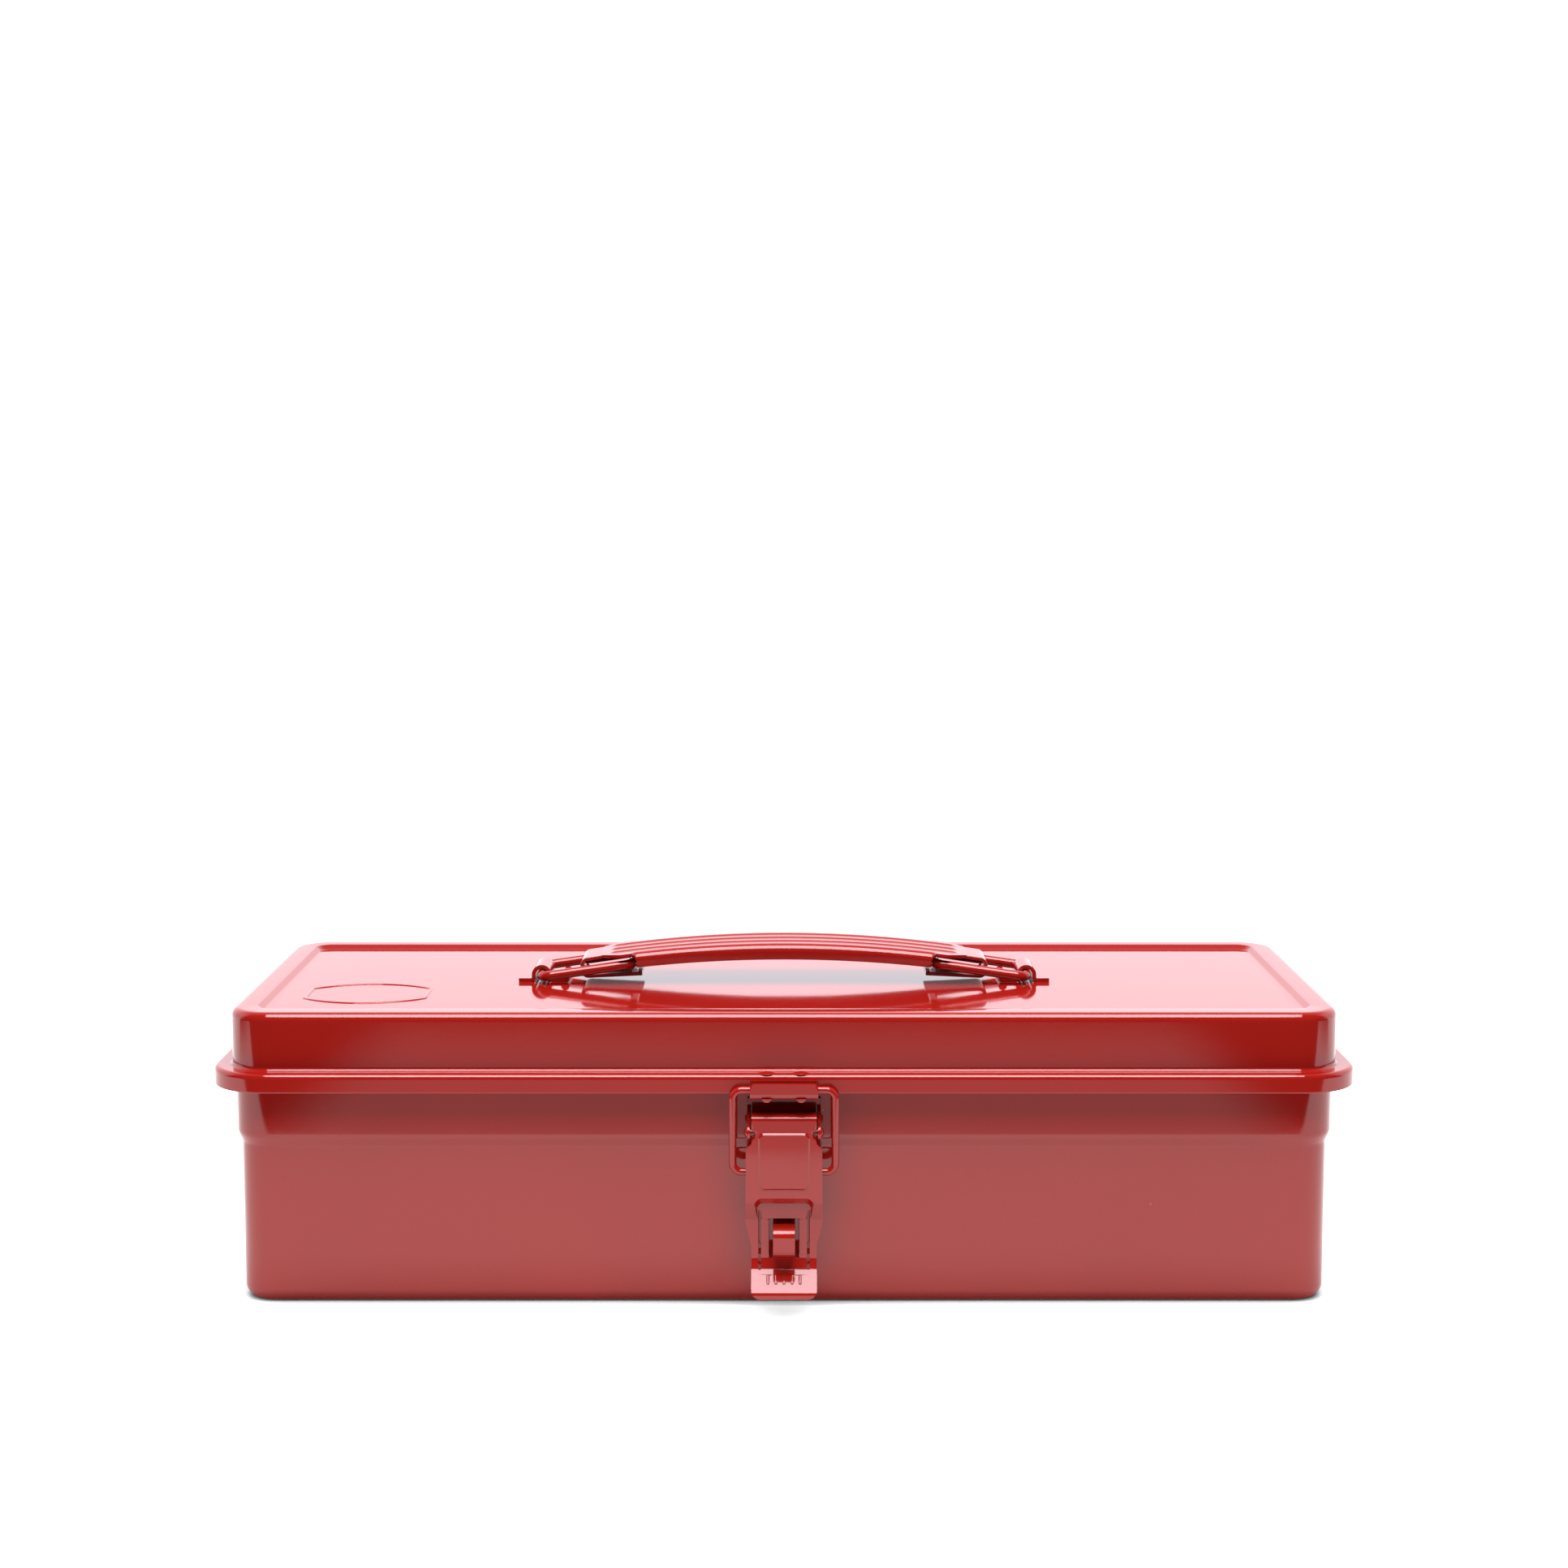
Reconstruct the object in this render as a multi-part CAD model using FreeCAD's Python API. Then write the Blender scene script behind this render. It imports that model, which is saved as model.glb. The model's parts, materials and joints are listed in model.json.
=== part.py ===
"""Pressed-steel hand box: one-piece tub, one-piece overhanging lid on two knuckle hinges,
an over-centre draw latch at the front, and a flat-folding arched handle on two wire rings.

Millimetres. +Z is up, the front faces -Y. The origin is the centre of the tub's bottom face.
Places in front of the box are given as a distance "out" from the lid's front wall.
"""
import FreeCAD, Part
import math
import os

Vector = FreeCAD.Vector
X_AXIS = Vector(1, 0, 0)
Y_AXIS = Vector(0, 1, 0)
Z_AXIS = Vector(0, 0, 1)
LEFT = -1
RIGHT = 1
SAME_POINT = 0.0001

# ---- overall sizes -------------------------------------------------------------------------
lid_width = 322.0            # over the lid's side walls
lid_depth = 118.6            # over the lid's front and back walls
body_height = 69.35          # floor to the top of the rim
lid_height = 16.75           # rim to the top of the lid
sheet = 0.8                  # steel sheet of tub and lid
wall_gap = 0.35              # play between the closed lid and the tub's rim, up and down

# ---- lid -----------------------------------------------------------------------------------
lid_corner_r = 12.3
lid_edge_r = 2.3             # rounding of the lid's top edge
border_width = 7.6           # raised border round the top
border_drop = 1.2            # depth of the recess inside the border
border_run = 1.3             # horizontal run of the recess's sloping side
recess_corner_r = 3.5
rim_overhang = 5.25
rim_height = 5.45            # rim's top face to the skirt's lower edge
rim_edge_r = 1.3
rim_root_r = 0.9             # hollow where the wall meets the rim
weld_bump_r = 2.6
weld_bump_height = 0.45

# ---- plain badge outline pressed into the lid ---------------------------------------------
badge_width = 37.0
badge_end_depth = 16.0       # at its two straight ends
badge_mid_depth = 30.0       # over its two bowed sides
badge_line = 1.3
badge_relief = 0.3
badge_from_side = 36.1       # lid's left wall to the badge's centre
badge_from_front = 35.2      # lid's front wall to the badge's centre

# ---- tub -----------------------------------------------------------------------------------
tub_inset = 1.0              # lid wall to the tub's upper wall
shoulder_inset = 1.25        # tub's upper wall to its lower wall
shoulder_from_rim = 19.85    # rim's top face down to the top of the shoulder
shoulder_height = 3.0
shoulder_r = 3.5
tub_bottom_r = 3.6
hem_height = 2.8
hem_gap = 0.6                # tub's rim to the inside of the lid's skirt

# ---- hinges --------------------------------------------------------------------------------
hinge_spacing = 196.0
hinge_length = 30.0
hinge_leaf = 0.9
hinge_pin_r = 1.25
hinge_fit = 0.05
hinge_bend_r = 0.45
hinge_pin_gap = 0.2          # knuckle to the lid's skirt
hinge_pin_drop = 7.15        # rim's top face down to the pin's centre
hinge_mid_knuckle = 11.0
hinge_knuckle_gap = 0.3
hinge_body_leaf_height = 11.5
pin_head_r = 1.9
pin_head_length = 0.8

# ---- keeper hook on the lid's skirt --------------------------------------------------------
keeper_sheet = 1.0
keeper_width = 19.4
keeper_reach = 5.9           # skirt to the face of the hook's lip
keeper_bottom_drop = 6.15    # rim's top face down to the hook's lower face
keeper_lip_height = 4.8
keeper_bend_r = 0.9
keeper_bead_r = 1.4
keeper_bead_depth = 0.5
keeper_bead_spacing = 9.8
keeper_lip_chamfer = 0.9

# ---- wire bail -----------------------------------------------------------------------------
bail_wire_r = 1.1
bail_width = 31.6            # over the wire
bail_corner_r = 2.7          # along the wire's centre
bail_seat_gap = 0.15         # wire to the hook's trough and to its back
bail_fit = 0.08

# ---- lever ---------------------------------------------------------------------------------
lever_sheet = 0.9
lever_bend_r = 0.7
lever_step_bend_r = 1.5
lever_tab_bend_r = 6.5       # soft sweep from the window plate out to the finger tab
pivot_drop = 16.3            # rim's top face down to the pivot
pivot_out = 7.3
pivot_pin_r = 1.3
pivot_fit = 0.06
pivot_head_r = 1.6
pivot_head_length = 0.9
notch_inset = 0.6            # lever's side to the notch's centre
notch_play = 0.5             # pivot's head to the notch
bail_lower_out = 6.8
lever_face_out = 9.7
lever_back_out = 5.4
lever_head_width = 18.6      # between the ears
lever_width = 21.8
lever_waist_width = 22.2
lever_tab_width = 18.8
lever_top = 5.4              # above the pivot
lever_shoulder = 4.4         # pivot down to where the lever is at its full width
lever_low_out = 7.6          # face of the lever below its step
lever_tab_flare = 7.0
lever_lip_flare = 0.2
lever_tab_corner_r = 2.6
panel_width = 14.8
panel_slope_run = 0.5
panel_relief = 0.4
panel_corner_r = 1.8
pocket_width = 17.2
pocket_slope_run = 1.0
pocket_top_run = 2.0         # longer ramp from the face down into the pocket
pocket_corner_r = 2.4
window_width = 8.8
slit_width = 0.8
slit_spacing = 14.0
tab_rib_count = 5
tab_rib_pitch = 2.3
tab_rib_width = 0.8
tab_rib_length = 3.1
tab_rib_relief = 0.25

# ---- distances below the pivot, for a pivot at the drawn height; they stretch with its height ----
drawn_pivot_height = 53.05
bail_drop = 11.65
panel_top = -0.4
panel_bottom = 16.2
pocket_top = 18.7
lever_step_start = 20.1
lever_step_end = 25.4
lever_waist = 26.3
lever_narrow = 33.2
lever_tab_bend = 39.0
lever_tab_end = 45.15
lever_tip = 46.85
window_top = 25.1
window_bottom = 36.7
slit_top = 22.8
slit_bottom = 39.9
staple_top = 27.0
staple_bottom = 35.4
base_narrow_start = 25.0
base_narrow_end = 32.0
base_bottom = 42.0
rivet_lower = 38.6

# ---- latch base and padlock staple ---------------------------------------------------------
base_sheet = 1.0
base_low_width = 17.6
base_top = 8.4               # above the pivot
ear_sheet = 1.0
ear_gap = 0.3                # lever's side to the ear
ear_r = 2.3
ear_root_top = 6.6           # above the pivot
ear_root_bottom = 2.6        # below the pivot
staple_sheet = 1.2
staple_width = 6.3
staple_out = 13.5
staple_foot = 4.6
staple_bend_r = 1.3
rivet_shank_r = 1.4
rivet_head_r = 2.3
rivet_head_height = 0.9
rivet_spacing = 12.0
rivet_shoulder_gap = 3.4     # foot of the tub's shoulder down to the upper rivets
rivet_hole_gap = 0.05

# ---- handle --------------------------------------------------------------------------------
ring_axis_spacing = 149.0
ring_wire_r = 1.5
ring_length = 28.7           # between the centres of its end bars
ring_width = 20.0            # between the centres of its side bars
ring_corner_r = 3.2
ring_rest_angle = 8.2
ring_fit = 0.35
bracket_sheet = 1.2
bracket_width = 12.6
bracket_bend_r = 1.2
bracket_foot_bend_r = 0.4
bracket_outer_foot = 4.0
bracket_inner_foot = 4.2
bracket_curl_r = 1.3
ring_axis_height = 2.3       # above the lid's recess
grip_width = 24.0
grip_sheet = 1.1
ring_bar_gap = 1.0           # ring's inner bar to the plate above it
grip_arch_r = 380.0
grip_skirt_height = 4.7
grip_skirt_arch_r = 406.0
grip_skirt_span = 90.0
grip_edge_r = 2.4
grip_bead_span = 108.0
grip_bead_pitch = 6.0
grip_bead_r = 1.5
grip_bead_relief = 0.45
tongue_span = 125.0          # over the two curled tongues
tongue_width = 15.0
tongue_neck_start = 50.0     # middle to where the plate starts to narrow
tongue_neck_end = 56.0
tongue_neck_overlap = 0.5    # plate past the neck, into the tongue
tongue_return = 43.5         # middle to the end of the curled-back part
tongue_lap = 0.12            # tongue's top below the plate's top
tongue_mouth_slack = 2.8     # room above and below the ring's bar where the loop is open
tongue_end_slack = 0.9

# ---- derived places ------------------------------------------------------------------------
rim_z = body_height
lid_top_z = rim_z + lid_height
recess_z = lid_top_z - border_drop
skirt_z = rim_z - rim_height
tub_top_z = rim_z - sheet - wall_gap
shoulder_z = rim_z - shoulder_from_rim
shoulder_low_z = shoulder_z - shoulder_height
front_y = -lid_depth / 2
rim_back_y = lid_depth / 2 + rim_overhang
knuckle_r = hinge_pin_r + hinge_fit + hinge_leaf
hinge_y = rim_back_y + hinge_pin_gap + knuckle_r
hinge_z = rim_z - hinge_pin_drop
pivot_z = rim_z - pivot_drop
tub_upper_out = -tub_inset
tub_lower_out = -tub_inset - shoulder_inset
latch_stretch = pivot_z / drawn_pivot_height
bail_lower_z = pivot_z - bail_drop * latch_stretch
keeper_back_out = rim_overhang + keeper_sheet
keeper_floor_z = rim_z - keeper_bottom_drop + keeper_sheet
bail_top_out = keeper_back_out + bail_seat_gap + bail_wire_r
bail_top_z = keeper_floor_z + bail_seat_gap + bail_wire_r
ring_axis_x = ring_axis_spacing / 2
ring_axis_z = recess_z + ring_axis_height
ring_bar_x = ring_axis_x - ring_length * math.cos(math.radians(ring_rest_angle))
ring_bar_z = ring_axis_z + ring_length * math.sin(math.radians(ring_rest_angle))
grip_fall_at_bar = grip_arch_r - math.sqrt(grip_arch_r ** 2 - ring_bar_x ** 2)
grip_top_z = ring_bar_z + ring_wire_r + ring_bar_gap + grip_sheet + grip_fall_at_bar


def out(distance):
    """Y of a place that lies this far in front of the lid's front wall."""
    return front_y - distance


def below_pivot(drop):
    """Height of a place this far below the lever's pivot, stretched with the pivot's height."""
    return pivot_z - drop * latch_stretch


# ---- shared shapes -------------------------------------------------------------------------
def box(x_low, x_high, y_low, y_high, z_low, z_high):
    corner = Vector(x_low, y_low, z_low)
    return Part.makeBox(x_high - x_low, y_high - y_low, z_high - z_low, corner)


def rod(radius, start, end):
    """Round bar between two points."""
    along = end - start
    return Part.makeCylinder(radius, along.Length, start, along)


def rounded_outline(width, depth, radius, z, centre=(0.0, 0.0)):
    """Closed wire: a rectangle with round corners, flat at height z."""
    half_x = width / 2
    half_y = depth / 2
    edges = []
    corners = ((1, 1, 0), (-1, 1, 90), (-1, -1, 180), (1, -1, 270))
    ends = []
    for side_x, side_y, start in corners:
        middle = Vector(centre[0] + side_x * (half_x - radius), centre[1] + side_y * (half_y - radius), z)
        circle = Part.Circle(middle, Z_AXIS, radius)
        arc = Part.ArcOfCircle(circle, math.radians(start), math.radians(start + 90))
        ends.append((arc.StartPoint, arc.EndPoint))
        edges.append(arc.toShape())
    for index, (_, arc_end) in enumerate(ends):
        next_start = ends[(index + 1) % len(ends)][0]
        edges.append(Part.makeLine(arc_end, next_start))
    return Part.Wire(Part.__sortEdges__(edges))


def rounded_prism(width, depth, radius, z_low, z_high, centre=(0.0, 0.0)):
    face = Part.Face(rounded_outline(width, depth, radius, z_low, centre))
    return face.extrude(Vector(0, 0, z_high - z_low))


def rounded_taper(low, high, low_shift=0.0, high_shift=0.0):
    """Solid between two rounded outlines, each (width, depth, radius, z), moved along Y by its shift."""
    outlines = [rounded_outline(*low), rounded_outline(*high)]
    for outline, shift in zip(outlines, (low_shift, high_shift)):
        outline.translate(Vector(0, shift, 0))
    return Part.makeLoft(outlines, True, True)


def level_edges(shape, z, tolerance=0.01):
    """Edges that lie flat at height z."""
    found = []
    for edge in shape.Edges:
        bounds = edge.BoundBox
        if abs(bounds.ZMin - z) < tolerance and abs(bounds.ZMax - z) < tolerance:
            found.append(edge)
    return found


def turn_of(before, corner, after):
    """Unit directions into and out of a corner, and the signed turn between them."""
    first = ((corner[0] - before[0]), (corner[1] - before[1]))
    second = ((after[0] - corner[0]), (after[1] - corner[1]))
    first_length = math.hypot(*first)
    second_length = math.hypot(*second)
    first = (first[0] / first_length, first[1] / first_length)
    second = (second[0] / second_length, second[1] / second_length)
    cross = first[0] * second[1] - first[1] * second[0]
    dot = first[0] * second[0] + first[1] * second[1]
    return first, second, math.atan2(cross, dot)


def offset_line(points, distance):
    """The open line of points, moved sideways to its left by distance."""
    moved = []
    last = len(points) - 1
    for index, point in enumerate(points):
        if 0 < index < last:
            first, _, turn = turn_of(points[index - 1], point, points[index + 1])
            shift = distance * math.tan(turn / 2)
            moved.append((point[0] - first[1] * distance - first[0] * shift,
                          point[1] + first[0] * distance - first[1] * shift))
        else:
            start, end = (points[0], points[1]) if index == 0 else (points[-2], points[-1])
            length = math.hypot(end[0] - start[0], end[1] - start[1])
            along = ((end[0] - start[0]) / length, (end[1] - start[1]) / length)
            moved.append((point[0] - along[1] * distance, point[1] + along[0] * distance))
    return moved


def rounded_line(points, radii, place):
    """Edges along an open line of points, with an arc of the given radius at each inner corner."""
    edges = []
    pen = place(*points[0])
    for index in range(1, len(points) - 1):
        corner = points[index]
        first, second, turn = turn_of(points[index - 1], corner, points[index + 1])
        reach = radii[index - 1] * math.tan(abs(turn) / 2)
        start = (corner[0] - first[0] * reach, corner[1] - first[1] * reach)
        end = (corner[0] + second[0] * reach, corner[1] + second[1] * reach)
        inward = (second[0] - first[0], second[1] - first[1])
        inward_length = math.hypot(*inward)
        to_centre = radii[index - 1] / math.cos(turn / 2)
        middle = (corner[0] + inward[0] / inward_length * (to_centre - radii[index - 1]),
                  corner[1] + inward[1] / inward_length * (to_centre - radii[index - 1]))
        if (place(*start) - pen).Length > SAME_POINT:
            edges.append(Part.makeLine(pen, place(*start)))
        edges.append(Part.Arc(place(*start), place(*middle), place(*end)).toShape())
        pen = place(*end)
    edges.append(Part.makeLine(pen, place(*points[-1])))
    return edges


def bent_face(points, thickness, bend_r, place):
    """Section of a bent sheet along a line of points; it lies to the line's left, or right if negative.

    The inside radius is one number, or one for each bend.
    """
    bends = len(points) - 2
    inside_radii = bend_r if isinstance(bend_r, list) else [bend_r] * bends
    near_radii = []
    far_radii = []
    for index in range(1, len(points) - 1):
        _, _, turn = turn_of(points[index - 1], points[index], points[index + 1])
        line_is_outside = turn * thickness > 0
        inside_r = inside_radii[index - 1]
        outside_r = inside_r + abs(thickness)
        near_radii.append(outside_r if line_is_outside else inside_r)
        far_radii.append(inside_r if line_is_outside else outside_r)
    far_points = offset_line(points, thickness)
    edges = rounded_line(points, near_radii, place)
    edges.extend(rounded_line(far_points, far_radii, place))
    edges.append(Part.makeLine(place(*points[0]), place(*far_points[0])))
    edges.append(Part.makeLine(place(*points[-1]), place(*far_points[-1])))
    return Part.Face(Part.Wire(Part.__sortEdges__(edges)))


def bent_strip(points, thickness, bend_r, width):
    """Bent sheet across X, its line given as (distance out, height)."""
    face = bent_face(points, thickness, bend_r, lambda a, b: Vector(-width / 2, out(a), b))
    return face.extrude(Vector(width, 0, 0))


def side_plate(points, x_low, x_high):
    """Flat plate across X from x_low to x_high, outline given as (distance out, height)."""
    corners = [Vector(x_low, out(a), b) for a, b in points]
    face = Part.Face(Part.makePolygon(corners + corners[:1]))
    return face.extrude(Vector(x_high - x_low, 0, 0))


def front_face(points, y):
    """Face in the front view, outline given as (x, height) for its right half, top to bottom."""
    corners = [Vector(x, y, z) for x, z in points]
    corners.extend(Vector(-x, y, z) for x, z in reversed(points))
    return Part.Face(Part.makePolygon(corners + corners[:1]))


def wire_loop(length, width, corner_r, wire_r):
    """Closed rectangular link of round wire, flat in XY, one end bar on the Y axis at X = 0."""
    outline = rounded_outline(length, width, corner_r, 0.0, (length / 2, 0.0))
    start = outline.Edges[0]
    for edge in outline.Edges:
        if edge.Curve.TypeId == "Part::GeomLine" and abs(edge.CenterOfMass.x) < 0.01:
            start = edge
    half = Part.Wire([Part.makeLine(start.CenterOfMass, start.Vertexes[1].Point)])
    others = [edge for edge in outline.Edges if not edge.isSame(start)]
    closing = Part.makeLine(start.Vertexes[0].Point, start.CenterOfMass)
    path = Part.Wire(Part.__sortEdges__(half.Edges + others + [closing]))
    begin = start.CenterOfMass
    section = Part.Wire([Part.Circle(begin, Y_AXIS, wire_r).toShape()])
    return path.makePipeShell([section], True, False)


def only_solid(shape):
    """The one solid in a result, with needless seams removed."""
    cleaned = shape.removeSplitter()
    if len(cleaned.Solids) != 1:
        raise ValueError("expected one solid, found %d" % len(cleaned.Solids))
    return cleaned.Solids[0]


# ---- tub and lid ---------------------------------------------------------------------------
def tub_form(shrink, floor_z):
    """Filled form of the tub's walls, each wall moved in by shrink."""
    upper = 2 * (tub_inset + shrink)
    lower = upper + 2 * shoulder_inset
    upper_r = lid_corner_r - tub_inset - shrink
    lower_r = upper_r - shoulder_inset
    low = rounded_prism(lid_width - lower, lid_depth - lower, lower_r, floor_z, shoulder_low_z)
    step = rounded_taper((lid_width - lower, lid_depth - lower, lower_r, shoulder_low_z),
                         (lid_width - upper, lid_depth - upper, upper_r, shoulder_z))
    high = rounded_prism(lid_width - upper, lid_depth - upper, upper_r, shoulder_z, tub_top_z)
    form = low.fuse([step, high]).removeSplitter()
    bends = level_edges(form, shoulder_z) + level_edges(form, shoulder_low_z)
    form = form.makeFillet(shoulder_r, bends)
    return form.makeFillet(tub_bottom_r - shrink, level_edges(form, floor_z))


def make_body_shell():
    rim_inset = 2 * (sheet + hem_gap - rim_overhang)
    rim_r = lid_corner_r + rim_overhang - sheet - hem_gap
    hem_z = tub_top_z - hem_height
    rim = rounded_prism(lid_width - rim_inset, lid_depth - rim_inset, rim_r, hem_z, tub_top_z)
    rim = rim.makeFillet(rim_edge_r, level_edges(rim, tub_top_z))
    under_inset = rim_inset + 2 * sheet
    under = rounded_prism(lid_width - under_inset, lid_depth - under_inset, rim_r - sheet,
                          hem_z, tub_top_z - sheet)
    shell = rim.cut(under).fuse(tub_form(0.0, 0.0))
    shell = shell.cut(tub_form(sheet, sheet))
    for x, z in rivet_places():
        wall_out = tub_lower_out
        hole = rod(rivet_shank_r + rivet_hole_gap, Vector(x, out(wall_out + 1), z),
                   Vector(x, out(wall_out - sheet - 1), z))
        shell = shell.cut(hole)
    return only_solid(shell)


def lid_recess(grow, z_floor, z_top):
    """Filled form of the sunk panel in the lid's top, widened by grow."""
    slope = border_run / border_drop
    top_inset = 2 * (border_width - grow)
    floor_inset = top_inset + 2 * slope * (z_top - z_floor)
    floor_r = recess_corner_r + grow
    top_r = floor_r + slope * (z_top - z_floor)
    return rounded_taper((lid_width - floor_inset, lid_depth - floor_inset, floor_r, z_floor),
                         (lid_width - top_inset, lid_depth - top_inset, top_r, z_top))


def weld_bumps():
    """Two shallow domes on the rim where the keeper hook is welded on."""
    ball_r = (weld_bump_r ** 2 + weld_bump_height ** 2) / (2 * weld_bump_height)
    domes = []
    for side in (LEFT, RIGHT):
        middle = Vector(side * keeper_bead_spacing / 2, out(rim_overhang - weld_bump_r),
                        rim_z + weld_bump_height - ball_r)
        ball = Part.makeSphere(ball_r, middle)
        top = Part.makeCylinder(weld_bump_r, rim_height, Vector(middle.x, middle.y, rim_z - sheet / 2))
        domes.append(ball.common(top))
    return domes


def badge_face(shrink):
    """Bowed outline of the badge, each side moved in by shrink."""
    x_mid = badge_from_side - lid_width / 2
    y_mid = front_y + badge_from_front
    half = badge_width / 2 - shrink
    end = badge_end_depth / 2 - shrink
    bow = badge_mid_depth / 2 - shrink
    base = recess_z - sheet / 2
    edges = []
    for side in (LEFT, RIGHT):
        start = Vector(x_mid - half, y_mid + side * end, base)
        stop = Vector(x_mid + half, y_mid + side * end, base)
        edges.append(Part.Arc(start, Vector(x_mid, y_mid + side * bow, base), stop).toShape())
        x_end = x_mid + side * half
        edges.append(Part.makeLine(Vector(x_end, y_mid - end, base), Vector(x_end, y_mid + end, base)))
    return Part.Face(Part.Wire(Part.__sortEdges__(edges)))


def badge_outline():
    """Plain bowed outline standing up from the lid's recess."""
    rise = Vector(0, 0, badge_relief + sheet / 2)
    return badge_face(0.0).extrude(rise).cut(badge_face(badge_line).extrude(rise))


def make_lid_shell():
    walls = rounded_prism(lid_width, lid_depth, lid_corner_r, skirt_z, lid_top_z)
    walls = walls.makeFillet(lid_edge_r, level_edges(walls, lid_top_z))
    rim = rounded_prism(lid_width + 2 * rim_overhang, lid_depth + 2 * rim_overhang,
                        lid_corner_r + rim_overhang, skirt_z, rim_z)
    rim = rim.makeFillet(rim_edge_r, level_edges(rim, rim_z))
    outside = walls.fuse(rim).removeSplitter()
    root = [edge for edge in level_edges(outside, rim_z)
            if max(abs(edge.BoundBox.XMax), abs(edge.BoundBox.XMin)) < lid_width / 2 + 0.01
            and max(abs(edge.BoundBox.YMax), abs(edge.BoundBox.YMin)) < lid_depth / 2 + 0.01]
    outside = outside.makeFillet(rim_root_r, root)
    outside = outside.cut(lid_recess(0.0, recess_z, lid_top_z + 0.01))
    outside = outside.fuse(weld_bumps())
    inner_top_z = lid_top_z - sheet
    inside = rounded_prism(lid_width - 2 * sheet, lid_depth - 2 * sheet, lid_corner_r - sheet,
                           skirt_z, inner_top_z)
    inside = inside.makeFillet(lid_edge_r - sheet, level_edges(inside, inner_top_z))
    inside = inside.cut(lid_recess(sheet, recess_z - sheet, inner_top_z + 0.01))
    rim_inner = 2 * (rim_overhang - sheet)
    under_rim = rounded_prism(lid_width + rim_inner, lid_depth + rim_inner,
                              lid_corner_r + rim_overhang - sheet, skirt_z, rim_z - sheet)
    under_rim = under_rim.makeFillet(rim_edge_r - sheet / 2, level_edges(under_rim, rim_z - sheet))
    shell = outside.cut(inside).cut(under_rim)
    return only_solid(shell.fuse(badge_outline()))


# ---- hinges --------------------------------------------------------------------------------
def hinge_x(side):
    return side * hinge_spacing / 2


def knuckle(x_low, x_high):
    outer = rod(knuckle_r, Vector(x_low, hinge_y, hinge_z), Vector(x_high, hinge_y, hinge_z))
    bore = rod(hinge_pin_r + hinge_fit, Vector(x_low - 1, hinge_y, hinge_z),
               Vector(x_high + 1, hinge_y, hinge_z))
    return outer.cut(bore)


def pin_bore(x_low, x_high):
    return rod(hinge_pin_r + hinge_fit, Vector(x_low, hinge_y, hinge_z), Vector(x_high, hinge_y, hinge_z))


def make_hinge_body_leaf(side):
    """Leaf spot-welded to the tub's back wall, carrying the two end knuckles."""
    middle = hinge_x(side)
    x_low = middle - hinge_length / 2
    x_high = middle + hinge_length / 2
    inner = hinge_mid_knuckle / 2 + hinge_knuckle_gap
    wall_y = lid_depth / 2 - tub_inset
    web_z = hinge_z - knuckle_r
    points = [(wall_y, web_z + hinge_leaf - hinge_body_leaf_height), (wall_y, web_z + hinge_leaf),
              (hinge_y, web_z + hinge_leaf)]
    face = bent_face(points, -hinge_leaf, hinge_bend_r, lambda a, b: Vector(x_low, a, b))
    plate = face.extrude(Vector(hinge_length, 0, 0))
    slot = box(middle - inner, middle + inner, hinge_y - knuckle_r - hinge_knuckle_gap,
               hinge_y + knuckle_r, hinge_z - knuckle_r - 1, hinge_z + knuckle_r)
    leaf = plate.cut(slot)
    leaf = leaf.fuse([knuckle(x_low, middle - inner), knuckle(middle + inner, x_high)])
    return only_solid(leaf.cut(pin_bore(x_low - 1, x_high + 1)))


def make_hinge_lid_leaf(side):
    """Leaf spot-welded to the lid's back skirt, carrying the middle knuckle."""
    middle = hinge_x(side)
    half_mid = hinge_mid_knuckle / 2
    top_z = rim_z - rim_edge_r - 0.1
    low_z = hinge_z + knuckle_r + hinge_knuckle_gap
    plate = box(middle - hinge_length / 2, middle + hinge_length / 2,
                rim_back_y, rim_back_y + hinge_leaf, low_z, top_z)
    neck = box(middle - half_mid, middle + half_mid, rim_back_y, rim_back_y + hinge_leaf, hinge_z, low_z)
    leaf = plate.fuse([neck, knuckle(middle - half_mid, middle + half_mid)])
    return only_solid(leaf.cut(pin_bore(middle - half_mid - 1, middle + half_mid + 1)))


def make_hinge_pin(side):
    middle = hinge_x(side)
    half = hinge_length / 2
    shaft = rod(hinge_pin_r, Vector(middle - half - pin_head_length, hinge_y, hinge_z),
                Vector(middle + half + pin_head_length, hinge_y, hinge_z))
    heads = []
    for end in (LEFT, RIGHT):
        start = Vector(middle + end * (half + 0.05), hinge_y, hinge_z)
        heads.append(rod(pin_head_r, start, start + Vector(end * pin_head_length, 0, 0)))
    return only_solid(shaft.fuse(heads))


# ---- latch ---------------------------------------------------------------------------------
def rivet_places():
    places = []
    for side in (LEFT, RIGHT):
        for z in (shoulder_low_z - rivet_shoulder_gap, below_pivot(rivet_lower)):
            places.append((side * rivet_spacing / 2, z))
    return places


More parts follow.
